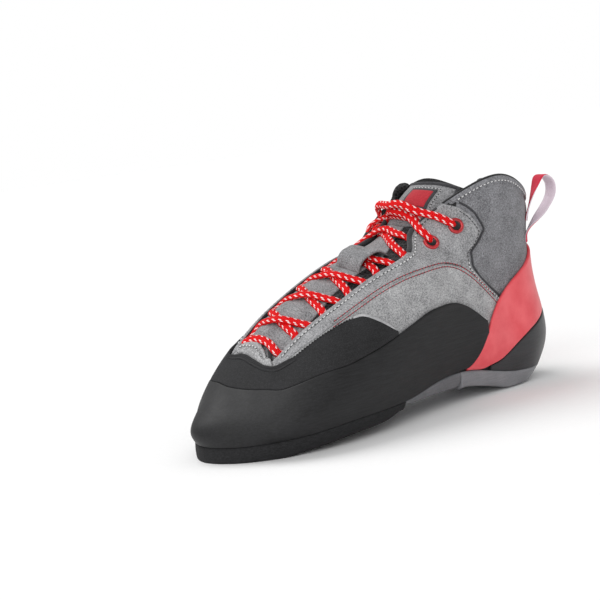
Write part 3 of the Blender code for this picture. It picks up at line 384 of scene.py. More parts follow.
def row_shift():
    """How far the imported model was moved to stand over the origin, read off one eyelet's place."""
    name, station, share = EYELETS[0]
    centre, axis = eyelet_seat(station, share)
    low, high = (np.array(corner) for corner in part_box(name))
    seat = centre + EYELET_RADIUS * np.array(circle_of(axis, 12)) + axis * (FIT_GAP + 0.0001)
    tail = centre - axis * (WALL + 0.0001)
    middle = (np.minimum(seat.min(axis=0), tail) + np.maximum(seat.max(axis=0), tail)) / 2
    return (middle - (low + high) / 2) * (1, 1, 0)


SHIFT = row_shift()


def linked(name, data):
    thing = bpy.data.objects.new(name, data)
    bpy.context.scene.collection.objects.link(thing)
    return thing


def turn_to(thing, right, up, back, place=(0, 0, 0)):
    rows = np.eye(4)
    rows[:3] = np.stack([right, up, back, place], axis=1)
    thing.matrix_world = Matrix(rows.tolist())


# camera: the photograph's angle to the shoe, rolled as it is there
CAMERA_TURN = math.radians(54)
CAMERA_RISE = math.radians(7.3)
CAMERA_ROLL = math.radians(-7.5)
CAMERA_DISTANCE = 0.794
CAMERA_AIM = np.array((0.0, -0.0504, 0.0775))
CAMERA_LENS = 85.0


def add_camera():
    back = np.array((math.sin(CAMERA_TURN) * math.cos(CAMERA_RISE),
                     -math.cos(CAMERA_TURN) * math.cos(CAMERA_RISE), math.sin(CAMERA_RISE)))
    level = np.array((math.cos(CAMERA_TURN), math.sin(CAMERA_TURN), 0.0))
    up = np.cross(back, level)
    lens = bpy.data.cameras.new("camera")
    lens.lens = CAMERA_LENS
    lens.sensor_width = 36.0
    camera = linked("camera", lens)
    turn_to(camera, math.cos(CAMERA_ROLL) * level + math.sin(CAMERA_ROLL) * up,
            -math.sin(CAMERA_ROLL) * level + math.cos(CAMERA_ROLL) * up,
            back, CAMERA_AIM - SHIFT + back * CAMERA_DISTANCE)
    bpy.context.scene.camera = camera


add_camera()


# finishes
def shade(code):
    """Linear colour of an sRGB hex value."""
    parts = [int(code[k:k + 2], 16) / 255 for k in (1, 3, 5)]
    return [v / 12.92 if v <= 0.04045 else ((v + 0.055) / 1.055) ** 2.4 for v in parts] + [1.0]


def per_mm(size):
    """Texture scale for a pattern of that size in millimetres."""
    return 1.0 / (size * MM)


def add(tree, kind, sockets=None, **settings):
    """Adds a node with its settings; sockets maps an input to a value or to another node's output."""
    made = tree.nodes.new(kind)
    for name, value in settings.items():
        setattr(made, name, value)
    for name, value in (sockets or {}).items():
        if isinstance(value, bpy.types.NodeSocket):
            tree.links.new(value, made.inputs[name])
        else:
            made.inputs[name].default_value = value
    return made


def finish_of(name, **sockets):
    """A new material, its tree and its shader, with the values that are the same all over."""
    material = bpy.data.materials.new(name)
    material.use_nodes = True
    shader = material.node_tree.nodes["Principled BSDF"]
    for socket, value in sockets.items():
        shader.inputs[socket.replace("_", " ")].default_value = value
    return material, material.node_tree, shader


def grain(tree, size, detail, rough, stretch=None):
    """Noise of a size in millimetres in the shoe's own space, stretched along an axis if asked."""
    space = add(tree, "ShaderNodeTexCoord").outputs["Object"]
    if stretch:
        space = add(tree, "ShaderNodeMapping", {"Vector": space, "Scale": stretch}).outputs["Vector"]
    return add(tree, "ShaderNodeTexNoise", {"Vector": space, "Scale": per_mm(size), "Detail": detail,
                                            "Roughness": rough}).outputs["Fac"]


def between(tree, value, low, high, to_low=0.0, to_high=1.0):
    return add(tree, "ShaderNodeMapRange", {"Value": value, "From Min": low, "From Max": high,
                                            "To Min": to_low, "To Max": to_high}).outputs["Result"]


def calc(tree, operation, first, second=0.0):
    return add(tree, "ShaderNodeMath", {0: first, 1: second}, operation=operation).outputs["Value"]


def blend(tree, factor, first, second):
    """Colour between two, each a hex value or another node's output."""
    colours = [shade(value) if isinstance(value, str) else value for value in (first, second)]
    return add(tree, "ShaderNodeMix", {0: factor, 6: colours[0], 7: colours[1]}, data_type="RGBA").outputs[2]


def surface(tree, shader, colour, height=None, depth_mm=0.0, strength=1.0):
    """Gives the shader its colour, and bumps it by a height field, depth in millimetres."""
    tree.links.new(colour, shader.inputs["Base Color"])
    if height is not None:
        bump = add(tree, "ShaderNodeBump",
                   {"Height": height, "Distance": depth_mm * MM, "Strength": strength})
        tree.links.new(bump.outputs["Normal"], shader.inputs["Normal"])


def layered(name, dark, light, layers, bumps=(), depth_mm=0.0, strength=1.0, cloudy=None, **sockets):
    """Dark to light by layers of grain, some of which also raise the surface.

    A layer is (size mm, detail, roughness, stretch), low and high of its range, and how much it lightens.
    cloudy gives a layer and the roughness at its low and high.
    """
    material, tree, shader = finish_of(name, **sockets)
    fields = [grain(tree, *kind) for kind, low, high, share in layers]
    lit = [between(tree, field, low, high, 0.0, share)
           for field, (kind, low, high, share) in zip(fields, layers) if share]
    mixed = lit[0]
    for more in lit[1:]:
        mixed = calc(tree, "ADD", mixed, more)
    height = fields[bumps[0]] if bumps else None
    for number in bumps[1:]:
        height = calc(tree, "ADD", height, fields[number])
    surface(tree, shader, blend(tree, mixed, dark, light), height, depth_mm, strength)
    if cloudy:
        number, low, high = cloudy
        tree.links.new(between(tree, fields[number], 0.3, 0.7, low, high), shader.inputs["Roughness"])
    return material


def brushed_suede(name, dark, light, nap=0.8):
    """Split leather brushed to a short nap: dull, with pale fibre specks, cloudy where the nap lies over."""
    # the real nap is about 0.2 mm; drawn coarser, so that it shows in the picture
    return layered(name, dark, light,
                   [((nap, 4.0, 0.75), 0.36, 0.64, 0.74), ((9.0, 3.0, 0.55), 0.3, 0.7, 0.28)], [0], 0.22, 0.8,
                   Roughness=0.92, Sheen_Weight=0.15, Sheen_Roughness=0.5, Specular_IOR_Level=0.25)


def sheet_rubber(name, dark, light, roughness, streak, coat=0.0, fleck=0.35):
    """Rolled and buffed rubber sheet: near black, with fine pale buffing lines that run along the shoe."""
    return layered(name, dark, light, [((1.6, 5.0, 0.7, (1.0, 0.10, 1.9)), 0.38, 0.72, streak),
                                       ((14.0, 3.0, 0.5), 0.3, 0.7, 0.35),
                                       ((0.55, 2.0, 0.6), 0.45, 0.8, fleck)],
                   [0, 2], 0.06, 0.5, (1, roughness - 0.06, roughness + 0.08),
                   Specular_IOR_Level=0.35, Coat_Weight=coat, Coat_Roughness=0.35)


def buffed_rubber_edge(name, dark, light):
    """Rubber sanded on a wheel: matt, with coarse scratches and pale rubber dust."""
    return layered(name, dark, light, [((1.1, 5.0, 0.8, (0.8, 0.35, 1.6)), 0.36, 0.68, 0.6),
                                       ((0.45, 3.0, 0.7), 0.4, 0.75, 0.4)],
                   [0, 1], 0.16, 0.8, Roughness=0.86, Specular_IOR_Level=0.3)


def moulded_red_rubber(name, dark, light):
    """Pressed coloured rubber: satin, a little cloudy, with a soft broad highlight."""
    return layered(name, dark, light, [((11.0, 3.0, 0.5), 0.3, 0.7, 0.75), ((0.6, 2.0, 0.6), 0.4, 0.8, 0.25),
                                       ((2.2, 3.0, 0.6), 0.0, 1.0, 0.0)],
                   [2, 1], 0.08, 0.4,
                   Roughness=0.42, Specular_IOR_Level=0.45, Coat_Weight=0.12, Coat_Roughness=0.3)


def knit_lining(name, dark, light):
    """Brushed knit lining: soft, dark, with a faint rib."""
    return layered(name, dark, light, [((0.6, 3.0, 0.7), 0.3, 0.7, 1.0)], [0], 0.2, 0.8,
                   Roughness=0.95, Sheen_Weight=0.2, Specular_IOR_Level=0.2)


def enamelled_ring(name, dark, light):
    """Stamped steel with baked enamel: glossy, with a faint cloudy tone."""
    return layered(name, dark, light, [((2.0, 2.0, 0.5), 0.3, 0.7, 1.0)],
                   Roughness=0.24, Metallic=0.25, Coat_Weight=0.6, Coat_Roughness=0.12)


def sewing_thread(name, dark, light):
    """Twisted bonded thread: slightly shiny, with a fine slanted twist."""
    return layered(name, dark, light, [((0.5, 2.0, 0.6), 0.3, 0.7, 1.0)], [0], 0.08, 0.6,
                   Roughness=0.6, Specular_IOR_Level=0.4)


def spacer_mesh(name, hole, thread):
    """Knitted spacer mesh: rows of small deep cells between rounded black threads."""
    material, tree, shader = finish_of(name, Roughness=0.7, Specular_IOR_Level=0.35)
    space = add(tree, "ShaderNodeTexCoord").outputs["Object"]
    # cells 2.1 mm apart, as in the real mesh
    cells = add(tree, "ShaderNodeTexVoronoi", {"Vector": space, "Scale": per_mm(2.1), "Randomness": 0.35},
                feature="DISTANCE_TO_EDGE")
    wall = between(tree, cells.outputs["Distance"], 0.06, 0.26, 1.0, 0.0)
    lit = calc(tree, "MULTIPLY", wall, between(tree, grain(tree, 0.35, 2.0, 0.6), 0.3, 0.7, 0.5, 1.0))
    surface(tree, shader, blend(tree, lit, hole, thread), wall, 0.7)
    return material


def cord_map(tree):
    """Millimetres along a cord or ribbon, and turns round it."""
    given = add(tree, "ShaderNodeUVMap", uv_map="cord").outputs["UV"]
    place = add(tree, "ShaderNodeSeparateXYZ", {"Vector": given})
    return place.outputs["X"], place.outputs["Y"]


def braided_lace(name, base, deep, fleck):
    """Braided polyester cord: fine slanted plaits, with pale tracer threads that surface in pairs."""
    material, tree, shader = finish_of(name, Roughness=0.75, Specular_IOR_Level=0.2)
    length, turn = cord_map(tree)

    def op(operation, first, second=0.0):
        return calc(tree, operation, first, second)

    # the plaits are 1.1 mm apart, six to a turn each way
    along = op("MULTIPLY", length, 2 * math.pi / 1.1)
    waves = [op("SINE", op("ADD", along, op("MULTIPLY", turn, slant * 2 * math.pi * 6)))
             for slant in (1.0, -1.0)]
    plait = op("MAXIMUM", *waves)
    # tracers: cells 4.4 mm long and a quarter turn wide, every second row set on
    row = op("MULTIPLY", turn, 4.0)
    set_on = op("MULTIPLY", op("MODULO", op("FLOOR", row), 2.0), 0.42)
    in_cell = op("FRACT", op("ADD", op("DIVIDE", length, 4.4), set_on))
    in_row = op("SUBTRACT", op("FRACT", row), 0.5)
    spots = []
    for centre, side in ((0.36, 0.12), (0.60, -0.12)):
        across = op("DIVIDE", op("SUBTRACT", in_row, side), 0.095)
        ahead = op("DIVIDE", op("SUBTRACT", in_cell, centre), 0.23)
        lean = op("ADD", ahead, op("MULTIPLY", across, 0.45))
        far = op("ADD", op("MULTIPLY", across, across), op("MULTIPLY", lean, lean))
        spots.append(between(tree, far, 0.75, 1.05, 1.0, 0.0))
    body = blend(tree, between(tree, plait, -0.6, 0.9), deep, base)
    surface(tree, shader, blend(tree, op("MAXIMUM", *spots), body, fleck), plait, 0.18, 0.8)
    return material


def woven_ribbon(name, dark, light, sheen=0.3):
    """Woven polyester ribbon: fine cross ribs with a soft sheen."""
    material, tree, shader = finish_of(name, Roughness=0.6, Sheen_Weight=sheen, Specular_IOR_Level=0.35)
    # ribs of 0.45 mm drawn at 0.7 mm, so that they show
    rib = calc(tree, "SINE", calc(tree, "MULTIPLY", cord_map(tree)[0], 2 * math.pi / 0.7))
    mixed = calc(tree, "ADD", between(tree, rib, -1.0, 1.0, 0.0, 0.45),
                 between(tree, grain(tree, 0.8, 3.0, 0.6), 0.3, 0.7, 0.0, 0.55))
    surface(tree, shader, blend(tree, mixed, dark, light), rib, 0.10, 0.6)
    return material


FINISH = {
    "quarter": brushed_suede("brushed pale grey suede", "#5e5e60", "#cacacb", 0.8),
    "eyestay": brushed_suede("brushed mid grey suede", "#4e4e50", "#bebec0", 0.8),
    "ankle": brushed_suede("brushed dark grey suede", "#444447", "#9e9ea2", 0.85),
    "tongue strip": brushed_suede("brushed grey tongue suede", "#464648", "#acacae", 0.8),
    "keeper": brushed_suede("brushed grey keeper suede", "#444446", "#acacae", 0.8),
    "binding": brushed_suede("folded charcoal suede binding", "#2c2c2e", "#4e4e51", 0.8),
    "rand": sheet_rubber("buffed black rand rubber", "#0d0d0e", "#29292b", 0.56, 0.55),
    "patch": sheet_rubber("textured black toe rubber", "#131314", "#363638", 0.80, 0.25, fleck=0.7),
    "cup": sheet_rubber("smooth black heel rubber", "#18181a", "#3a3a3d", 0.42, 0.4, coat=0.2),
    # arch and heel edge: black rubber whose colours are lightened to mid grey, a painted reflection of the
    # white floor
    "arch": sheet_rubber("pressed black arch rubber with painted floor reflection", "#4a4a4e", "#7c7c80", 0.36, 0.3, coat=0.35),
    "heel edge": sheet_rubber("black heel sole edge with painted floor reflection", "#6a6a6e", "#98989c", 0.38, 0.3, coat=0.4),
    "sole": buffed_rubber_edge("sanded black sole rubber", "#141415", "#343436"),
    # pale grey colours: a painted highlight where the patch's bevelled edge catches the light
    "gloss": sheet_rubber("pale grey rubber edge with painted highlight", "#8d8d8f", "#d8d8da", 0.28, 0.3, coat=0.5),
    "band": moulded_red_rubber("pressed satin red rubber", "#e2404a", "#f2666d"),
    "mesh": spacer_mesh("knitted black spacer mesh", "#060607", "#3a3a3c"),
    # black knit lining, also used for the painted shade in the eyelet holes and in the gusset slit
    "lining": knit_lining("brushed black knit lining", "#161617", "#333335"),
    "board": knit_lining("felted dark grey insole", "#2b2b2c", "#555557"),
    "label": knit_lining("woven plain red label", "#a3242f", "#c23640"),
    "lace": braided_lace("braided red lace with pale tracers", "#f0060c", "#b8040a", "#fff4f4"),
    "ribbon red": woven_ribbon("woven crimson ribbon", "#b80a2e", "#dc1440", 0.05),
    "ribbon pale": woven_ribbon("woven ribbon back, pinkish white", "#cfb9c6", "#ece2ea"),
    "ribbon black": woven_ribbon("woven black ribbon", "#141415", "#2e2e30"),
    "enamel": enamelled_ring("enamelled red steel", "#9c1018", "#c81f28"),
    "white thread": sewing_thread("bonded white thread", "#c9c9c9", "#f2f2f2"),
    "red thread": sewing_thread("bonded red thread", "#9c2430", "#cc3644"),
    # charcoal thread, also used for the painted shade lines under the pale stitch rows
    "dark thread": sewing_thread("bonded charcoal thread", "#1c1c1d", "#3a3a3b"),
}


# meshes
def new_piece(name, points, faces, finish, slot, replaced=(), marks=None, uv=None):
    """One smooth mesh piece on the shoe, with a finish for every face where marks are given."""
    mesh = bpy.data.meshes.new(name)
    mesh.from_pydata((np.asarray(points, float) - SHIFT).tolist(), [], [list(map(int, f)) for f in faces])
    for key in ([finish] if isinstance(finish, str) else finish):
        mesh.materials.append(FINISH[key])
    if marks is not None:
        mesh.polygons.foreach_set("material_index", np.asarray(marks, int))
    if uv is not None:
        layer = mesh.uv_layers.new(name="cord")
        corners = np.empty(len(mesh.loops), int)
        mesh.loops.foreach_get("vertex_index", corners)
        layer.data.foreach_set("uv", np.asarray(uv, float)[corners].reshape(-1))
    mesh.validate()
    mesh.shade_smooth()
    # every closed piece shows its faces outwards
    body = bmesh.new()
    body.from_mesh(mesh)
    if body.calc_volume(signed=True) < 0:
        mesh.flip_normals()
    body.free()
    piece = linked(name, mesh)
    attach(piece, "root")
    if replaced:
        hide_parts(*replaced)
    return piece


def grid_faces(grid):
    """The four-sided faces of a grid of point numbers."""
    return np.stack([grid[:-1, :-1], grid[1:, :-1], grid[1:, 1:], grid[:-1, 1:]], axis=-1).reshape(-1, 4)


def slab_mesh(outer, inner, ring=False):
    """Points and faces of the solid between two equal grids."""
    top = np.arange(outer[..., 0].size).reshape(outer.shape[:2])
    if ring:
        top = np.concatenate([top, top[:1]])
    low = top + outer[..., 0].size
    sides = [(low[:, 0], top[:, 0]), (top[:, -1], low[:, -1])]
    if not ring:
        sides += [(top[0], low[0]), (low[-1], top[-1])]
    grids = [top, low.T] + [np.stack(pair, axis=1) for pair in sides]
    points = np.concatenate([outer.reshape(-1, 3), inner.reshape(-1, 3)])
    return points, np.concatenate([grid_faces(grid) for grid in grids])


def slab_piece(name, frame, face, base, finish, slot, replaced=(), ring=False):
    """A sheet between two lifts off one surface."""
    return new_piece(name, *slab_mesh(raised(frame, face), raised(frame, base), ring), finish, slot, replaced)


def tube_mesh(sections, closed=False):
    """Loft between closed rings of points, capped at both ends unless the path closes."""
    sections = np.asarray(sections)
    count, size = sections.shape[:2]
    grid = np.arange(count * size).reshape(count, size)
    grid = np.concatenate([grid, grid[:, :1]], axis=1)
    if closed:
        grid = np.concatenate([grid, grid[:1]])
    faces = grid_faces(grid).tolist()
    if not closed:
        faces += [grid[0, :-1].tolist(), grid[-1, -2::-1].tolist()]
    return sections.reshape(-1, 3), faces


def cord_uv(run, size):
    """Millimetres along and turns round, for every point of a tube."""
    return np.stack([np.repeat(run / MM, size), np.tile(np.arange(size) / size, len(run))], axis=1)


def path_directions(path):
    return unit(np.gradient(path, axis=0))


def oval_piece(name, path, run, normal, wide, tall, finish, slot, replaced=(), sides=14):
    """A strip with an oval section along an even path, lying flat on its normals."""
    ahead = path_directions(path)
    side = unit(np.cross(ahead, normal))
    up = np.cross(side, ahead)
    angles = np.linspace(0, 2 * math.pi, sides + 1)[:-1]
    wide, tall = (np.broadcast_to(half, len(path))[:, None] for half in (wide, tall))
    ring = side[:, None] * (wide * np.cos(angles))[..., None]
    ring = ring + up[:, None] * (tall * np.sin(angles))[..., None]
    points, faces = tube_mesh(path[:, None] + ring)
    return new_piece(name, points, faces, finish, slot, replaced, uv=cord_uv(run, sides))


def rope(name, path, wide, tall, finish, slot, normal=None, sides=14, taper=0.0):
    """A soft strip along a path, flat on its normals, or on what lies off its middle where none are given."""
    given = run_of(path)
    path, run = resample(path, 0.0012)
    normal = path - (*path.mean(axis=0)[:2], 0.02) if normal is None else read_off(run, given, normal)
    size = 1.0
    if taper:
        ends = np.clip(np.minimum(run, run[-1] - run) / taper, 0, 1)
        size = np.sqrt(np.clip(1 - (1 - ends) ** 2, 0.02, 1))
    return oval_piece(name, path, run, normal, wide * size, tall * size, finish, slot, sides=sides)


def crease_height(points):
    """Soft troughs and ridges of the worn-in leather, in metres."""
    height = np.zeros(points.shape[:-1])
    for start, low, end, high, width, depth in CREASES:
        line = shell(np.linspace(start, end, 9), np.linspace(low, high, 9))
        far = np.stack([apart(points, mark) for mark in line])
        place = np.clip(far.argmin(axis=0) / 8, 0.02, 0.98)
        fade = np.clip(np.sin(np.pi * place) * 1.6, 0, 1)
        height += depth * MM * fade * np.exp(-(far.min(axis=0) / (width * MM)) ** 2)
    return height


EDGE_STEPS = np.array((0.0, 0.12, 0.3, 0.6, 1.1)) * MM


def laid_piece(name, first, last, step, low, high, under, thick, finish, slot, rows, round_mm=0.7,
               relief=None, replaced=(), soft_foot=True):
    """A sheet laid on the shell between two lines of share, with rounded edges.

    under gives the lift of its underside for stations and shares, relief an added height of its face.
    """
    stations = fine_stations(first, last, step)
    near = EDGE_STEPS[1:] * 0.1 / apart(shell([first], [.5])[0], shell([first + .1], [.5])[0])
    inside = stations[(stations > first + near[-1] * 1.4) & (stations < last - near[-1] * 1.4)]
    stations = np.concatenate([[first], first + near, inside, last - near[::-1], [last]])
    foot, head = low(stations)[:, None], high(stations)[:, None]
    edge = np.minimum(EDGE_STEPS / rib_length(stations)[:, None],
                      (head - foot) * 0.45 * EDGE_STEPS / EDGE_STEPS[-1])
    start, end = foot + edge, head - edge[:, ::-1]
    middle = np.linspace(0, 1, rows + 2)[1:-1]
    share = np.concatenate([start, start[:, -1:] + (end[:, :1] - start[:, -1:]) * middle, end], axis=1)
    place = np.broadcast_to(stations[:, None], share.shape)
    frame = point, _ = shell_frame(place, share)
    run = run_of(point, 1)
    room = np.minimum(run[:, -1:] - run, np.minimum(apart(point, point[:1]), apart(point, point[-1:])))
    if soft_foot:
        room = np.minimum(room, run)
    base = under(place, share)
    face = base + thick - edge_fall(room, min(round_mm * MM, thick))
    if relief:
        face = face + relief(place, share, point) * ease(room / (2.5 * MM))
    return slab_piece(name, frame, face, base, finish, slot, replaced)


# sewn stitches: length, gap and radius in millimetres
EYESTAY_STITCH = (1.9, 0.8, 0.34)
COLLAR_STITCH = (1.8, 0.9, 0.32)
TAB_STITCH = (1.8, 0.8, 0.32)
RED_STITCH = (1.7, 0.6, 0.25)
KEEPER_STITCH = (1.7, 0.8, 0.28)
PANEL_STITCH = (1.6, 0.7, 0.28)
PANEL_LOW_STITCH = (1.6, 0.9, 0.28)
FLAP_STITCH = (1.5, 0.7, 0.28)
LABEL_STITCH = (1.3, 0.8, 0.22)
PATCH_STITCH = (1.2, 0.6, 0.34)


def stitch_row(name, line, normal, finish, slot, size):
    """A row of sewn stitches along a line: short rounded threads that dip at both ends into a thin dark line,
    painted shade of the sunk stitch holes.
    """
    # under pale threads, a thin charcoal strip: painted shade along the stitch line
    if finish != "dark thread":
        rope(name + "_groove", line + normal * 0.05 * MM, 0.00028, 0.00010, "dark thread", slot, normal,
             sides=6)
    run = run_of(line)
    long, gap, radius = (part * MM for part in size)
    rings, sides = 7, 6
    angles = np.linspace(0, 2 * math.pi, sides + 1)[:-1]
    part = np.linspace(-1, 1, rings)
    thick = radius * np.sqrt(np.clip(1 - 0.82 * part ** 6, 0.1, 1))
    points, faces = [], []
    for number, start in enumerate(np.arange(0.5 * gap, run[-1] - long, long + gap)):
        at = np.linspace(start, start + long, rings)
        path, up = read_off(at, run, line), read_off(at, run, normal)
        side = unit(np.cross(path_directions(path), up))
        path = path + up * (radius * (0.55 - 1.1 * part ** 4))[:, None]
        circle = side[:, None] * np.cos(angles)[:, None] + up[:, None] * np.sin(angles)[:, None]
        ring_points, ring_faces = tube_mesh(path[:, None] + circle * thick[:, None, None])
        points.append(ring_points)
        faces += [[number * rings * sides + k for k in face] for face in ring_faces]
    return new_piece(name, np.concatenate(points), faces, finish, slot)


def both_sides(name, build):
    """Builds the outer piece and its mirror on the inner side."""
    build(name + "_outer", lambda station: station)
    build(name + "_inner", lambda station: RIB_COUNT - station)


# the upper: lining, quarter, eyestays, ankle panel, gusset tab and bindings
def seam_share(station, off_mm=0.0):
    """Share of the eyestay seam at a station, moved up the rib by millimetres."""
    station = np.asarray(station, float)
    length = rib_length(station.reshape(-1)).reshape(station.shape)
    return soft_row(EYESTAY_SEAM, station, 0.35) + off_mm * MM / length


def below_rubber(station):
    """Share a little below the rubber's top edge at any station from the toe."""
    side = folded(station)
    signed = np.where(np.mod(station, RIB_COUNT) > HEEL_RIB, -side, side)
    rubber = np.where(side < 5.6, soft_row(PATCH_TOP, signed), soft_row(RAND_TOP, signed))
    return np.clip(np.where(side > 8.0, 0.02, rubber - 0.12), 0.02, 1.0)


def build_lining():
    place, share = np.meshgrid(np.arange(0, RIB_COUNT, 0.08), np.linspace(0, 1, 40), indexing="ij")
    side = folded(place)
    padded = ease((side - 9.0) / 1.5) * ease((share - 0.62) / 0.2)
    skin = leather_lift(share) - PANEL_STEP * (side > panel_line(share))
    slab_piece("upper_lining", shell_frame(place, share), skin - 0.0005,
               skin - WALL - COLLAR_PADDING * padded, "lining", "upper", ["upper"], ring=True)


def build_quarter():
    def high(station):
        side = folded(station)
        return np.where(side < 3.6, 0.999, np.minimum(seam_share(side, 1.0), 0.999))

    laid_piece("upper_quarter", -10.2, 10.2, 0.045, below_rubber, high, lambda s, t: leather_lift(t) - 0.0009,
               0.0009, "quarter", "upper", rows=46, relief=lambda s, t, point: crease_height(point))


def build_ankle_panel():
    """Padded panel from one panel line round the heel to the other, its columns bent along the line."""
    shares = np.concatenate([np.linspace(0.02, 0.89, 50), np.linspace(0.90, 0.978, 26),
                             1 - EDGE_STEPS[::-1] / 0.085])
    turns = np.linspace(0, 1, 210)
    share, turn = np.meshgrid(shares, turns, indexing="xy")
    front = panel_line(share) - 0.22
    place = front + (RIB_COUNT - 2 * front) * turn
    frame = shell_frame(place, share)
    from_top = (1 - share) * rib_length(turns * 8 + 9).mean()
    from_front = (folded(place) - panel_line(share)) * 0.0085
    sewn = 0.0042
    puff = 1.1 * MM * ease(from_front / 0.007) * ease((from_top - sewn) / 0.006)
    puff += 0.7 * MM * np.sin(np.pi * np.clip(from_top / sewn, 0, 1)) * ease(from_front / 0.004)
    puff *= ease((share - 0.30) / 0.25)
    dent = -0.5 * MM * np.exp(-((from_top - sewn) / 0.0011) ** 2)
    skin = leather_lift(share) - PANEL_STEP
    face = skin + puff + dent - edge_fall(from_top, 0.0006, 0.5 * MM) + crease_height(frame[0])
    slab_piece("ankle_panel", frame, face, skin - 0.0008, "ankle", "upper")


def build_eyestay(name, mirror):
    """Suede overlay from the double seam up to the throat and back to the panel line."""
    shares = np.linspace(0, 1, 40)
    turns = np.concatenate([np.linspace(0, 0.985, 150), 1 - np.array((.011, .008, .005, .0025, .001, 0.0))])
    first, foot_end, head_end = 2.05, 9.7, 8.72
    places, levels = [], []
    for v in shares:
        station = first + (foot_end + (head_end - foot_end) * v - first) * turns
        # the rear edge follows the panel line, found by halving the way to it
        for _ in range(14):
            low = np.where(station < 3.6, np.interp(station, (2.0, 3.6), (.90, seam_share(3.6, -0.2))),
                           seam_share(station, -0.2))
            low = np.minimum(low, 0.995)
            level = low + (0.9995 - low) * v
            station = 0.5 * station + 0.5 * (first + (panel_line(level[-1]) - first) * turns)
        places.append(station)
        levels.append(level)
    share = np.stack(levels, axis=1)
    point, normal = shell_frame(mirror(np.stack(places, axis=1)), share)
    run = run_of(point, 1)
    from_top = run[:, -1:] - run
    room = np.minimum(np.minimum(run, from_top), apart(point, point[-1:]))
    dent = -0.18 * MM * np.exp(-((from_top - 0.0034) / 0.0008) ** 2)
    face = leather_lift(share) + 0.0004 - edge_fall(room, 0.55 * MM) + dent + crease_height(point)
    # the inner one is built the other way round, as the mirror of the outer one
    way = slice(None, None, -1 if mirror(0.0) > 0 else 1)
    base = leather_lift(share) - 0.0011
    slab_piece(name, (point[way], normal[way]), face[way], base[way], "eyestay", "upper")


def build_bindings():
    """Charcoal folded edge along the collar, the ankle panel's front and the flaps."""
    stations = fine_stations(8.75, RIB_COUNT - 8.75, 0.05)
    rope("collar_edge", shell(stations, 1.0, -PANEL_STEP - 0.0009), 0.0010, 0.0008, "lining", "upper")

    def edges(name, mirror):
        for kind, first, last, wide, tall in (("front", 6.85, 7.98, 0.0016, 0.0011),
                                              ("top", 7.94, 8.62, 0.0008, 0.0007)):
            line, normal = seam_frame(mirror(fine_stations(first, last, 0.04)), 0.995, 0.0)
            rope(name.replace("edge", "flap_" + kind), line, wide, tall, "binding", "upper", normal,
                 taper=0.001)
        share = np.linspace(0.36, 0.955, 90)
        line, normal = seam_frame(mirror(panel_line(share) + 0.13), share,
                                  leather_lift(share) - PANEL_STEP + 0.0003)
        rope(name.replace("edge", "panel_binding"), line, 0.0007, 0.0004, "binding", "upper", normal)

    both_sides("edge", edges)


def build_upper_seams():
    """White rows beside throat and collar, the red double seam, dark and white rows at the panel line."""
    def rows(name, mirror):
        def sew(kind, place, share, lift, thread, size):
            line, normal = seam_frame(mirror(place), share, leather_lift(share) + lift)
            stitch_row(name.replace("seam", kind), line, normal, thread, "upper", size)

        edge = fine_stations(2.45, 7.93, 0.03)
        below = np.interp(edge, (2.45, 6.4, 7.0), (0.0030, 0.0031, 0.0040))
        sew("eyestay_stitches", edge, 1 - below / rib_length(edge), 0.0005, "white thread", EYESTAY_STITCH)
        for number, first, last, off_mm, lift in ((1, 4.15, 9.55, -1.3, 0.0), (2, 4.25, 9.4, 1.3, 0.0004)):
            place = fine_stations(first, last, 0.03)
            sew("red_stitches_%d" % number, place, seam_share(place, off_mm), lift, "red thread", RED_STITCH)
        for kind, low, high, thread, size in (
                ("panel_stitches", 0.66, 0.93, "dark thread", PANEL_STITCH),
                ("panel_stitches_low", 0.38, 0.655, "white thread", PANEL_LOW_STITCH)):
            share = np.linspace(low, high, 80)
            sew(kind, panel_line(share) - 0.07, share, 0.0004, thread, size)
        place = fine_stations(8.05, 8.60, 0.02)
        sew("flap_stitches", place, 1 - 0.0028 / rib_length(place), 0.0004, "dark thread", FLAP_STITCH)

    both_sides("seam", rows)
    place = fine_stations(8.98, RIB_COUNT - 8.98, 0.03)
    share = 1 - 0.0031 / rib_length(place)
    line, normal = seam_frame(place, share, leather_lift(share) - PANEL_STEP + 0.0003)
    stitch_row("collar_stitches", line, normal, "white thread", "upper", COLLAR_STITCH)


# rubber
RAND_ENDS = (-8.75, 8.80)
PATCH_THICKNESS = RUBBER * 0.92


def rand_foot_line():
    """Foot of the rand as the construction has it: on the feather edge, but above the band at the heel."""
    first, last = RAND_ENDS
    thirds = np.arange(-HEEL_RIB * 3, HEEL_RIB * 3) / 3
    marks = np.concatenate([[first], thirds[(thirds > first + 0.12) & (thirds < last - 0.12)], [last]])
    wrapped = np.mod(marks, RIB_COUNT)
    over_band = row_height(BAND_TOP, wrapped) + 0.4 * RUBBER_SEAM
    foot = np.where((wrapped >= 7.5) & (wrapped <= 19.3), over_band, 0.0)
    return list(zip(marks, foot))


def band_foot(station):
    return soft_row(BAND_FOOT, station)


def patch_top(station):
    return soft_row(PATCH_TOP, station, 0.1)


def rubber_under(station, share):
    return leather_lift(share) + FIT_GAP + 0.0001


def patch_relief(station, share, point):
    """A soft lip and a groove along the throat end of the toe patch."""
    below = (patch_top(station) - share) * 0.085
    fade = ease((3.0 - abs(station - 0.4)) / 1.2) * MM
    lip = 0.9 * np.exp(-((below - 0.0022) / 0.0013) ** 2)
    return fade * (lip - 0.35 * np.exp(-((below - 0.0046) / 0.0009) ** 2))


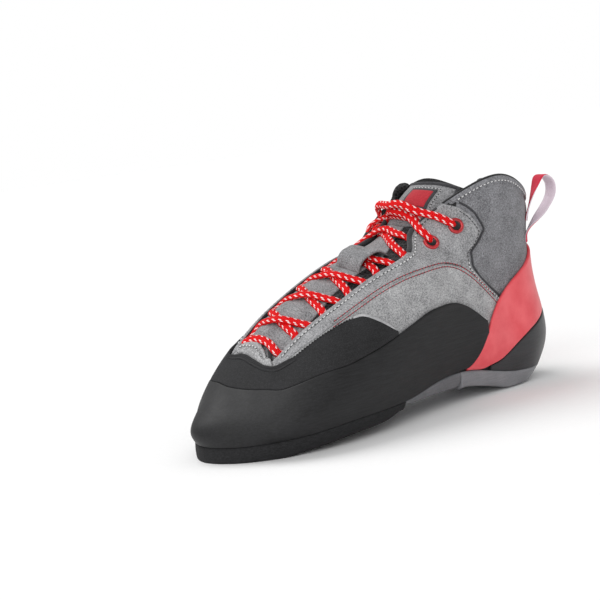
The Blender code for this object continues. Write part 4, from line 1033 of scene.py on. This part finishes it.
def build_rubber():
    foot = rand_foot_line()
    laid_piece("rand_sheet", *RAND_ENDS, 0.04, lambda s: soft_row(foot, s, 0.12, 5),
               lambda s: soft_row(RAND_TOP, s), rubber_under, RUBBER, "rand", "rand", rows=34, round_mm=0.8,
               replaced=["rand"], soft_foot=False)
    laid_piece("toe_patch_sheet", -5.59, 5.61, 0.035, lambda s: soft_row(RAND_TOP, s) + 0.0005, patch_top,
               rubber_under, PATCH_THICKNESS, "patch", "toe_patch", rows=30, round_mm=0.9,
               relief=patch_relief, replaced=["toe_patch"])
    laid_piece("heel_band_sheet", 7.95, 19.12, 0.04, band_foot, lambda s: soft_row(BAND_TOP, s),
               rubber_under, RUBBER, "band", "heel_band", rows=22, round_mm=0.9, replaced=["heel_band"])
    laid_piece("heel_cup_sheet", 9.0, 17.0, 0.04, lambda s: np.zeros(len(s)), lambda s: band_foot(s) - 0.0035,
               rubber_under, RUBBER, "cup", "heel_cup", rows=22, round_mm=0.9, replaced=["heel_cup"],
               soft_foot=False)

    def on_patch(first, last, step, drop_mm, lift_mm):
        station = fine_stations(first, last, step)
        share = patch_top(station) - drop_mm * MM / rib_length(station)
        return seam_frame(station, share, leather_lift(share) + FIT_GAP + PATCH_THICKNESS + lift_mm * MM)

    def strip(kind, place, wide, tall, finish, taper):
        line, normal = on_patch(*place)
        rope("patch_" + kind, line, wide, tall, finish, "toe_patch", normal, taper=taper)

    # rolled lip over a pressed groove round the throat end, with a darker strip in the groove as painted
    # shade, black edge stitches, and a pale grey strip at the tip as a painted highlight on the patch's
    # bevelled edge
    strip("lip", (-1.9, 2.9, 0.05, 0.9, 0.2), 0.0009, 0.0007, "patch", 0.010)
    # the groove strip is darker rubber laid in the groove: painted shade
    strip("groove", (-1.9, 2.9, 0.05, 2.6, 0.1), 0.0010, 0.0003, "rand", 0.010)
    line, normal = on_patch(2.7, 4.7, 0.03, 0.5, 0.15)
    stitch_row("patch_stitches", line, normal, "dark thread", "toe_patch", PATCH_STITCH)
    strip("tip_edge", (4.5, 5.6, 0.02, 0.4, -0.4), 0.0010, 0.0008, "gloss", 0.012)


# sole: three pieces of one outline
RIM = shell(np.arange(0, RIB_COUNT, 0.02), 0.0)
RIM = np.roll(RIM, -int(RIM[:, 1].argmin()), axis=0)
HEEL_MARK = int(RIM[:, 1].argmax())
EDGES = [edge[np.argsort(edge[:, 1])]
         for edge in (RIM[:HEEL_MARK + 1], np.concatenate([RIM[HEEL_MARK:], RIM[:1]])[::-1])]
TOE_END, HEEL_END = float(RIM[0, 1]), float(RIM[HEEL_MARK, 1])


def footbed(along, across):
    """Point of the footbed, across from the outer feather edge (0) to the inner one (1)."""
    outer, inner = (read_off([along], edge[:, 1], edge)[0] for edge in EDGES)
    point = outer + (inner - outer) * across
    point[2] = outer[2] + (inner[2] - outer[2]) * float(ease(across)) - FIT_GAP
    point[1] = along
    return point


def sole_row(along):
    """Insets and heights of the bottom edges there, as shares."""
    table = np.array(SOLE_ROWS) / 100
    near = along + np.linspace(-0.004, 0.004, 5)
    return [float(np.mean(np.interp(near, table[:, 0] * LENGTH, table[:, k]))) for k in range(1, 5)]


def rounded_side(high, low, inwards, bulge, corner):
    """Side of the sole from the feather edge down, crowned a little, with a worn lower corner."""
    marks = []
    for v in np.linspace(0, 1, 7):
        marks.append(high + (low - high) * v + (bulge * math.sin(math.pi * v), 0.0, 0.0))
    turned = low + (inwards * corner, 0.0, 0.0)
    back = marks[-2] - marks[-1]
    before = marks[-1] + back * min(0.9, corner / max(1e-6, np.linalg.norm(back)))
    return marks[:-1] + [(1 - v) ** 2 * before + 2 * v * (1 - v) * low + v * v * turned
                         for v in np.linspace(0, 1, 5)]


def sole_piece(name, start, end, set_back, finish, slot, count, node):
    spread = np.linspace(0, 1, count)
    if start == 0.0:
        spread = 1 - np.cos(spread * math.pi / 2)
    elif end == 1.0:
        spread = np.sin(spread * math.pi / 2)
    sections = []
    for along in TOE_END + (HEEL_END - TOE_END) * (start + (end - start) * spread):
        edges = footbed(along, 0.0), footbed(along, 1.0)
        row = sole_row(along)
        width = abs(edges[0][0] - edges[1][0])
        slide = TOE_SLIDE * (1 - float(ease((along - TOE_END) / (0.08 * LENGTH))))
        slide += HEEL_SLIDE * (1 - float(ease((HEEL_END - along) / (0.10 * LENGTH))))
        crown = 0.0006 * min(1.0, width / (0.3 * BALL_WIDTH))
        corner = min(0.0040 if node == "outsole_heel" else 0.0012, 0.2 * width)
        sides = []
        for k, inwards in ((0, -1.0), (1, 1.0)):
            low = edges[k] + (inwards * min(row[k] * BALL_WIDTH, 0.3 * width), slide, 0.0)
            low[2] = row[k + 2] * INSTEP_HEIGHT + set_back
            sides.append(rounded_side(edges[k], low, inwards, -inwards * crown, corner))
        bottom = [sides[0][-1] + (sides[1][-1] - sides[0][-1]) * v for v in np.linspace(0, 1, 12)[1:-1]]
        top = [footbed(along, v) for v in np.linspace(1, 0, 10)[1:-1]]
        sections.append(sides[0] + bottom + sides[1][::-1] + top)
    new_piece(name, *tube_mesh(sections), finish, slot, [node])


def build_sole():
    half = FIT_GAP / 2 / (HEEL_END - TOE_END)
    sole_piece("forefoot_sole", 0.0, FOREFOOT_SOLE_END - half, 0.0, "sole", "outsole", 110,
               "outsole_forefoot")
    sole_piece("arch_wrap", FOREFOOT_SOLE_END + half, ARCH_END - half, ARCH_SET_BACK, "arch", "arch", 60,
               "arch_panel")
    sole_piece("heel_sole", ARCH_END + half, 1.0, 0.0, "heel edge", "outsole", 90, "outsole_heel")


def build_insole():
    inset = RUBBER + FIT_GAP + WALL + 0.0012
    first, last = TOE_END + 1.6 * inset, HEEL_END - 1.6 * inset
    spread = np.linspace(-1, 1, 25)
    crown = 0.0006 * (1 - spread ** 2) - 0.0010 * np.abs(spread) ** 14
    top, low = [], []
    for x in np.linspace(0, 1, 90):
        along = first + (last - first) * (0.5 - 0.5 * math.cos(x * math.pi))
        width = footbed(along, 0.0)[0] - footbed(along, 1.0)[0]
        end = min(along - first, last - along) / (0.10 * LENGTH)
        half = (0.5 - inset / width) * (0.25 + 0.75 * math.sqrt(max(0.0, 1 - (1 - min(1.0, end)) ** 2)))
        low.append([footbed(along, 0.5 + half * v) + (0, 0, FIT_GAP + 0.0006) for v in spread])
        top.append(np.array(low[-1]) + np.outer(INSOLE_THICKNESS + crown, (0, 0, 1)))
    new_piece("insole_felt", *slab_mesh(np.array(top), np.array(low)), "board", "insole", ["insole"])


# tongue
ACROSS_KNOTS = np.array([-1.7, -1.0, 0.0, 1.0, 1.7])


def tongue_rows():
    """Rows of five points across the tongue, from its root to its free end."""
    rows = []
    depth = -WALL - FIT_GAP - 0.0012
    for station, rise in TONGUE_UNDER:
        both = [RIB_COUNT - station, station]
        far = shell(both, .82, leather_lift(.82) + depth)
        near, normal = seam_frame(both, .985, leather_lift(.985) + depth)
        crest = near.mean(axis=0) + unit(normal.sum(axis=0)) * TONGUE_RISE * rise
        rows.append([far[0], near[0], crest, near[1], far[1]])
    for along, up, near, far in TONGUE_FREE:
        crest = np.array((0.0, along / 100 * LENGTH, up / 100 * INSTEP_HEIGHT + SOLE_STACK))
        row = [crest]
        for across, back, drop in (near, far):
            shift = np.array((across * BALL_WIDTH, back * LENGTH, -drop * INSTEP_HEIGHT)) / 100
            row = [crest + shift * (-1, 1, 1)] + row + [crest + shift]
        rows.append(row)
    return np.array(rows)


TONGUE = tongue_rows()
TONGUE_KNOTS = chord_knots(TONGUE[:, 1:4])
TONGUE_MOMENTS = spline_moments(TONGUE_KNOTS, TONGUE)


def tongue_place(station):
    """Place along the tongue that lies between the throat edges at an outer station."""
    return np.interp(station, [row[0] for row in TONGUE_UNDER], TONGUE_KNOTS[:len(TONGUE_UNDER)])


def tongue_frame(along, across):
    """Point of the tongue's outer face and the direction off it."""
    along, across = np.broadcast_arrays(np.asarray(along, float), np.asarray(across, float))
    u, v = along.reshape(-1), across.reshape(-1)

    def face(u, v):
        rows = np.swapaxes(smooth_curve(TONGUE_KNOTS, TONGUE, u, TONGUE_MOMENTS), 0, 1)
        moments = spline_moments(ACROSS_KNOTS, rows)
        i = np.clip(np.searchsorted(ACROSS_KNOTS, v, side="right") - 1, 0, 3)
        k = np.arange(len(u))
        span = np.diff(ACROSS_KNOTS)[i][:, None]
        part = (v - ACROSS_KNOTS[i])[:, None] / span
        return cubic(rows[i, k], rows[i + 1, k], moments[i, k], moments[i + 1, k], part, span)

    forward = face(np.clip(u + 2e-3, 0, 1), v) - face(np.clip(u - 2e-3, 0, 1), v)
    normal = unit(np.cross(face(u, v + 1e-2) - face(u, v - 1e-2), forward))
    return face(u, v).reshape(along.shape + (3,)), normal.reshape(along.shape + (3,))


def tongue_face(along, across, lift=0.0):
    return raised(tongue_frame(along, across), lift)


TONGUE_MARKS = tongue_place([1.7, BAR_STATION] + [(low + high) / 2 for low, high in CROSSINGS])


def tongue_puff(along, across):
    """Padded segments of the tongue: crowned between the laces, drawn in under them."""
    i = np.clip(np.searchsorted(TONGUE_MARKS, along, side="right") - 1, 0, len(TONGUE_MARKS) - 2)
    x = np.clip((along - TONGUE_MARKS[i]) / (TONGUE_MARKS[i + 1] - TONGUE_MARKS[i]), 0, 1)
    crown = np.sin(np.pi * x) ** 0.6 * np.clip(1 - np.abs(across) ** 3, 0, 1)
    return 1.2 * MM * crown * (1 - ease((along - TONGUE_MARKS[-1]) / 0.02))


def tongue_slab(name, low, high, left, right, rows, cols, lift, thick, finish, slot, replaced=(), radius=0.6,
                puff=False):
    """A sheet laid on the tongue between two places along it and two lines across it, with rounded edges."""
    along = np.linspace(low, high, rows)
    spread = (1 + np.sin(np.linspace(-math.pi / 2, math.pi / 2, cols))) / 2
    left, right = (np.broadcast_to(edge, rows)[:, None] for edge in (left, right))
    u = np.broadcast_to(along[:, None], (rows, cols))
    v = left + (right - left) * spread
    frame = point, _ = tongue_frame(u, v)
    room = np.minimum(np.minimum(apart(point, point[:, :1]), apart(point, point[:, -1:])),
                      np.minimum(apart(point, point[:1]), apart(point, point[-1:])))
    base = lift + (tongue_puff(u, v) if puff else 0.0)
    face = base + thick - edge_fall(room, radius * MM, min(radius * MM, thick))
    return slab_piece(name, frame, face, base, finish, slot, replaced)


def build_tongue():
    u, v = np.meshgrid(np.linspace(0, 1, 170), np.linspace(-1.7, 1.7, 60), indexing="ij")
    thin = TONGUE_THICKNESS * (0.45 + 0.55 * ease((1.75 - abs(v)) / 0.6))
    thin = thin * (0.45 + 0.55 * ease(u / 0.12)) * (1 + 0.35 * ease((u - 0.78) / 0.15))
    thin = thin * (1 - 0.68 * ease((u - 0.88) / 0.11))
    drop = 0.0010 * ease((u - 0.975) / 0.025) + 0.0009 * ease((abs(v) - 1.6) / 0.1)
    slab_piece("tongue_mesh", tongue_frame(u, v), tongue_puff(u, v) - drop, drop - thin, "mesh",
                         "tongue", ["tongue"])
    # black mesh shows beyond the grey strip's outer edge
    low, high = 0.01, 0.80
    keys = [0.0, *tongue_place((2.2, 3.4, 4.2, 4.8, 5.6, 6.4, 7.2, 8.0))]
    right = np.interp(np.linspace(low, high, 200), keys, (.9, .95, .86, .70, .50, .44, .40, .20, .15))
    tongue_slab("tongue_strip", low, high, -1.15, right, 200, 30, -0.0002, 0.0011, "tongue strip", "tongue",
                puff=True)
    tongue_slab("tongue_top", high, 0.996, -1.40, 1.64, 60, 40, -0.0002, 0.0012, "tongue strip", "tongue",
                radius=0.9)
    # label with a thick dark border, left bare
    tongue_slab("label_border", 0.868, 0.968, -0.02, 1.02, 30, 30, FIT_GAP + 0.0004, 0.0011, "binding",
                "label", ["tongue_label"], radius=0.8)
    tongue_slab("label_face", 0.878, 0.957, 0.09, 0.92, 24, 24, FIT_GAP + 0.0010, 0.0008, "label", "label",
                radius=0.5)
    u = np.concatenate([np.full(40, 0.9735), np.linspace(0.9735, 0.87, 30)])
    v = np.concatenate([np.linspace(-0.1, 1.12, 40), np.full(30, 1.12)])
    line, normal = tongue_frame(u, v)
    stitch_row("label_stitches", line + normal * 0.0010, normal, "white thread", "label", LABEL_STITCH)
    # padded roll round the free edge
    side = np.linspace(0.80, 0.990, 20)
    u = np.concatenate([side, np.full(40, 0.999), side[::-1]])
    v = np.concatenate([np.full(20, 1.70), np.linspace(1.66, -1.66, 40), np.full(20, -1.70)])
    path = tongue_face(u, v, 0.0004)
    rope("tongue_roll", path, 0.0015, 0.0013, "binding", "tongue", taper=0.006)
    # padded ear on the inner side
    ear = tongue_face((0.885, 0.93, 0.962, 0.985), (-1.25, -1.45, -1.15, -0.6),
                      (0.0020, 0.0050, 0.0052, 0.0015))
    path = smooth_curve(chord_knots(ear), ear, np.linspace(0, 1, 30))
    rope("tongue_ear", path, 0.0033, 0.0028, "mesh", "tongue", taper=0.008)
    # dark padded edge that bulges past the inner side of the throat
    path = tongue_face(np.linspace(0.66, 0.925, 40), -1.15, -0.0004)
    path += np.outer(np.sin(np.linspace(0, math.pi, 40)), (-0.0088, 0.0, 0.0030))
    rope("tongue_side", path, 0.0046, 0.0034, "mesh", "tongue", taper=0.012)
    build_gusset_tab()
    build_keeper()


def build_gusset_tab():
    """Pale rounded tab at the toe end of the throat, from under the toe patch over the tongue's root."""
    across = np.linspace(-1.0, 1.0, 70)
    station = np.interp(across, (-1.0, 1.0), (-0.9, 1.9))
    crest = np.interp(across, (-1.0, -0.9, -0.55, -0.05, 0.35, 0.85, 1.0),
                      (1.9, 2.15, 2.5, 2.62, 2.34, 1.75, 1.45))
    crest = tongue_place(np.convolve(np.pad(crest, 4, mode="edge"), np.ones(9) / 9, mode="valid"))
    marks = [shell(station, level, leather_lift(level) + lift)
             for level, lift in ((0.905, -0.0006), (0.945, 0.0008), (0.995, 0.0012))]
    marks.append(tongue_face((crest + 2 * tongue_place(1.6)) / 3, across, 0.0030))
    marks.append(tongue_face(crest, across, 0.0034))
    marks = np.array(marks)
    grid = smooth_curve(chord_knots(marks), marks, np.linspace(0, 1, 40))
    normal = unit(np.cross(np.gradient(grid, axis=1), np.gradient(grid, axis=0)))
    upward = tongue_frame(tongue_place(1.9), 0.0)[1]
    normal *= np.where((normal * upward).sum(axis=-1, keepdims=True) < 0, -1.0, 1.0)
    room = np.minimum(apart(grid, grid[-1:]), np.minimum(apart(grid, grid[:, :1]), apart(grid, grid[:, -1:])))
    slab_piece("gusset_tab", (grid, normal), 0.0012 - edge_fall(room, 0.0008), 0.0, "quarter", "upper")
    # stitches along a row of the grid near the crest
    row, along = 35, slice(8, -3)
    stitch_row("gusset_stitches", (grid + normal * 0.0015)[row, along], normal[row, along], "white thread",
               "upper", TAB_STITCH)
    # dark strip at its outer side: painted shade of the slit where the tongue goes under
    across = np.linspace(0.45, 1.0, 24)
    crest = np.interp(across, (0.45, 0.85, 1.0), (2.46, 1.95, 1.70))
    line, normal = tongue_frame(tongue_place(crest), across)
    rope("gusset_slit_shade", line + normal * 0.0032, 0.0011, 0.0007, "lining", "tongue", normal)


def build_keeper():
    """Raised suede bridge that the fourth crossing runs under."""
    low, high = (float(tongue_place(station)) for station in KEEPER)
    rise = LACE_DIAMETER * 1.28 + 2 * FIT_GAP
    along = np.linspace(low, high, 50)
    arch = rise * (1 - np.abs(2 * (along - low) / (high - low) - 1) ** 3)
    u, v = np.meshgrid(along, np.sin(np.linspace(-math.pi / 2, math.pi / 2, 26)) * 0.47, indexing="ij")
    frame = point, _ = tongue_frame(u, v)
    base = FIT_GAP + 0.0003 + (arch * 1.06)[:, None] + tongue_puff(u, v) * 0.3
    room = np.minimum(apart(point, point[:, :1]), apart(point, point[:, -1:]))
    slab_piece("keeper_bridge", frame, base + 0.0015 - edge_fall(room, 0.0007), base, "keeper", "keeper",
               ["tongue_keeper"])
    for name, place in (("low", low + 0.004), ("high", high - 0.004)):
        line, normal = tongue_frame(place, np.linspace(0.45, -0.45, 40))
        stitch_row("keeper_stitches_" + name, line + normal * (FIT_GAP + 0.0022), normal, "white thread",
                   "keeper", KEEPER_STITCH)


# lace
LACE_HALF_WIDE = 0.00245
LACE_HALF_TALL = 0.00168
# the three strands at the top, from the inner eyelets to the outer ones or under the outer flap:
# place along the tongue (below 1) and across it, or station and share; lift mm, shift inwards mm
TOP_STRANDS = {
    "under": [(.735, -1.15, -3.5, 7), (.748, -1.0, .6, 10), (.768, -.95, 3.4, 10),
              (.833, -1.0, 3.0, 4), (.848, -.25, 1.5, 0), (.842, .25, 1.3, 0),
              (.835, .60, 1.2, 0), (.825, .95, .6, 0), (.815, 1.25, -.8, 0)],
    "low": [(18.13, .868, -4.0, 0), (18.12, .874, -.4, 0), (18.1, .90, 2.2, 0),
            (18.0, .96, 2.4, 0), (.815, -1.1, .2, 2), (.848, -.80, 2.4, 1),
            (.865, -.35, 4.8, 0), (.862, .05, 4.8, 0), (.850, .35, 4.6, 0),
            (.810, .85, 3.6, 0), (7.96, .945, 2.7, 0), (7.92, .905, 2.6, 0),
            (7.90, .880, 1.6, 0), (7.88, .872, -.6, 0), (7.87, .868, -4.0, 0)],
    "high": [(17.34, .862, -4.0, 0), (17.34, .868, -.4, 0), (17.36, .90, 2.4, 0),
             (17.5, .96, 3.0, 1), (.850, -1.15, 2.6, 5), (.866, -.95, 6.9, 5),
             (.878, -.60, 7.8, 1), (.880, -.20, 7.8, 0), (.880, .20, 7.6, 0),
             (.855, .70, 6.8, 0), (.850, 1.05, 4.9, 0), (8.48, .945, 2.8, 0),
             (8.54, .905, 2.6, 0), (8.61, .876, 1.6, 0), (8.64, .866, -.6, 0),
             (8.65, .862, -4.0, 0)],
}
# the last crossing, free of the regular weave: the strand from the inner side up, then the one under it
LAST_CROSSING = {
    -1.0: [(.640, -.95, .6, 6), (.710, -.90, 3.2, 4), (.745, -.65, 4.2, 0),
           (.747, -.2, 4.4, 0), (.745, .10, 3.6, 0), (.745, .75, 1.2, 0),
           (.742, 1.0, .2, 0)],
    1.0: [(.630, 1.04, .2, 0), (.658, .64, 1.9, 0), (.708, .08, 2.2, 0),
          (.742, -.55, 1.2, 0), (.750, -.90, .4, 2), (.735, -1.1, -1.0, 4)],
}


def mark_on(frame, lift, inwards=0.0):
    """A point raised off a surface and shifted towards the inner side, with its normal."""
    point, normal = frame
    return point + normal * lift - (inwards, 0, 0), normal


def marks_of(table):
    return [mark_on((tongue_frame if first < 1 else shell_frame)(first, second), lift * MM, inwards * MM)
            for first, second, lift, inwards in table]


def lace_run(side):
    """Marks of the lace from the bar's end on one side up to the last crossing's upper end, with normals."""
    marks = []
    station = BAR_STATION
    for low, high in CROSSINGS:
        # the runs along the rim lie open on the inner side and hidden on the outer one
        reach, sunk = (1.06, -0.0006) if side > 0 else (0.99, 0.0006)
        for part in (1 / 3, 2 / 3):
            place = tongue_place(station + (low - station) * part)
            marks.append(mark_on(tongue_frame(place, side * reach), sunk))
        if (low, high) == CROSSINGS[-1]:
            return marks + marks_of(LAST_CROSSING[side])
        for x in (-0.86, -0.5, -0.2, 0.2, 0.5, 0.86):
            place, across = tongue_place(low + (high - low) * (x + 0.86) / 1.72), -x * side
            # the strand from the inner side goes over the other one
            hump = 1.9 * LACE_HALF_TALL * math.exp(-(x / 0.34) ** 2) if side < 0 else 0.0
            dip = 0.0009 * max(0.0, abs(x) - 0.5) / 0.36
            lift = LACE_HALF_TALL + FIT_GAP + hump + 0.4 * tongue_puff(place, across) - dip
            marks.append(mark_on(tongue_frame(place, across), lift))
        side, station = -side, high


def build_lace():
    """One lace through bar and crossings, and three strands at the top."""
    bar = [mark_on(tongue_frame(tongue_place(BAR_STATION + ahead), across), LACE_HALF_TALL + FIT_GAP + lift)
           for across, ahead, lift in ((-0.86, 0.0, 0.0002), (-0.4, 0.10, 0.0016), (0.0, 0.16, 0.0022),
                                       (0.4, 0.10, 0.0016), (0.86, 0.0, 0.0002))]
    lace_tube("lace_woven", lace_run(-1.0)[::-1] + bar + lace_run(1.0),
              ["lace_bar"] + ["lace_cross_%d" % k for k in range(1, 6)])
    for name, table in TOP_STRANDS.items():
        lace_tube("lace_top_" + name, marks_of(table), ["lace_top"] if name == "under" else ())


def lace_tube(name, marks, replaced):
    """Braided lace with a soft oval section that lies flat on what carries it, narrower at its ends."""
    places, normals = (np.array(part) for part in zip(*marks))
    knots = chord_knots(places)
    path, run = resample(smooth_curve(knots, places, np.linspace(0, 1, 40 * len(marks))), 0.0006)
    narrow = 0.66 + 0.34 * ease((np.minimum(run, run[-1] - run) - 0.003) / 0.006)
    oval_piece(name, path, run, read_off(run / run[-1], knots, normals), LACE_HALF_WIDE * narrow,
               LACE_HALF_TALL, "lace", "lace", replaced, sides=20)


def build_eyelets():
    hole, rim = EYELET_HOLE_RADIUS + 0.0002, EYELET_RADIUS + 0.0004
    seat = FIT_GAP + 0.0003
    middle, half = (rim + hole) / 2 + 0.0001, (rim - hole) / 2 - 0.0001
    profile = [(hole, -WALL), (hole + 0.0006, -WALL), (hole + 0.0006, seat - 0.0003), (rim, seat - 0.0003)]
    profile += [(middle + half * math.cos(a), seat + 0.0011 * math.sin(a))
                for a in np.linspace(0, math.pi, 11)]
    for name, station, share in EYELETS:
        centre, axis = eyelet_seat(station, share)
        rings = [[centre + out * radius + axis * height for radius, height in profile]
                 for out in circle_of(axis, 48)]
        new_piece(name.replace("eyelet", "ring"), *tube_mesh(rings, closed=True), "enamel", "eyelet", [name])
        # dark disc in the hole: painted shade of its inside, which also shuts the hole from sight
        disc = [[centre + out * (hole + 0.0003) + axis * height for out in circle_of(axis, 32)]
                for height in (0.0010, 0.0004)]
        new_piece(name.replace("eyelet", "ring_shade"), *tube_mesh(disc), "lining", "eyelet")


def build_loop(name, station, finishes, slot, node):
    """Ribbon that leaves the shell, turns over and comes back to it, with another finish on its back."""
    out = unit(shell_frame([station], [0.8])[1][0] * (1, 1, 0))
    free = np.array((math.copysign(math.sin(LOOP_TURN), out[0]), math.cos(LOOP_TURN), 0.0))
    half, tall = LOOP_WIDTH / 2, LOOP_THICKNESS / 2
    levels = np.linspace(0, 1, 60)
    heights = shell(station, levels)[:, 2]
    marks = []
    for height, reach in LOOP_PATH:
        level = SOLE_STACK + height / 100 * INSTEP_HEIGHT
        share = min(float(np.interp(level, heights, levels)), 0.96)
        skin = shell(station, [share], leather_lift(share) - PANEL_STEP + tall + FIT_GAP + 0.0003)[0]
        skin[2] = level
        marks.append(skin + free * reach / 100 * BALL_WIDTH)
    marks = np.array(marks)
    knots = chord_knots(marks)
    at = np.linspace(0, 1, 110)
    path = smooth_curve(knots, marks, at)
    turn = ease(np.interp(at, knots, [reach for _, reach in LOOP_PATH]) / 12.0)[:, None]
    ahead = path_directions(path)
    facing = out * (1 - turn) + free * turn
    wide = np.stack([-facing[:, 1], facing[:, 0], np.zeros(len(at))], axis=1)
    wide = unit(wide - ahead * (wide * ahead).sum(axis=1, keepdims=True))
    thick = np.cross(ahead, wide)
    spread = np.linspace(-1, 1, 9)
    section = [(v * half, face * tall * math.sqrt(max(0.02, 1 - abs(v) ** 8)))
               for face, row in ((1, spread), (-1, spread[::-1])) for v in row]
    points, faces = tube_mesh([[path[i] + wide[i] * x + thick[i] * y for x, y in section]
                               for i in range(len(path))])
    size = len(section)
    backs = [0 if len(face) == 4 and min(index % size for index in face) < 8 else 1 for face in faces]
    new_piece(name, points, faces, finishes, slot, [node], marks=backs, uv=cord_uv(run_of(path), size))


# light that the white room gives, and soft lamps: where from, strength, spread in degrees
DOME_LIGHT = 0.52
LAMPS = [("key_light", (-0.51, -0.18, 0.87), 1.35, 45.0), ("front_light", (0.55, -0.75, 0.55), 1.15, 60.0)]
FLOOR_REACH = 6.0


def build_stage():
    """Pale floor and soft studio light."""
    mesh = bpy.data.meshes.new("floor")
    corners = [(-1, -1), (1, -1), (1, 1), (-1, 1)]
    mesh.from_pydata([(x * FLOOR_REACH, y * FLOOR_REACH, 0) for x, y in corners], [], [(0, 1, 2, 3)])
    mesh.materials.append(layered("matt white paper floor", "#fbfbfb", "#ffffff",
                                  [((3.0, 2.0, 0.5), 0.0, 1.0, 1.0)], Roughness=0.9, Specular_IOR_Level=0.1))
    linked("floor", mesh)
    world = bpy.data.worlds.new("white room")
    world.use_nodes = True
    tree = world.node_tree
    dome = tree.nodes["Background"]
    # the room looks white, and lights the shoe softly from all round
    seen = add(tree, "ShaderNodeLightPath").outputs["Is Camera Ray"]
    tree.links.new(between(tree, seen, 0.0, 1.0, DOME_LIGHT, 1.0), dome.inputs["Strength"])
    dome.inputs["Color"].default_value = (1, 1, 1, 1)
    bpy.context.scene.world = world
    bpy.context.scene.view_settings.view_transform = "Standard"
    for name, towards, strength, spread in LAMPS:
        lamp = bpy.data.lights.new(name, "SUN")
        lamp.energy = strength
        lamp.angle = math.radians(spread)
        back = unit(np.array(towards))
        right = unit(np.cross((0, 0, 1), back))
        turn_to(linked(name, lamp), right, np.cross(back, right), back)


build_stage()
build_lace()
build_lining()
build_quarter()
build_ankle_panel()
both_sides("eyestay", build_eyestay)
build_bindings()
build_upper_seams()
build_rubber()
build_sole()
build_insole()
build_tongue()
build_eyelets()
build_loop("pull_ribbon_outer", LOOP_STATION, ["ribbon pale", "ribbon red"], "loop_red", "pull_loop_outer")
build_loop("pull_ribbon_inner", RIB_COUNT - LOOP_STATION, ["ribbon black", "ribbon black"], "loop_black",
           "pull_loop_inner")
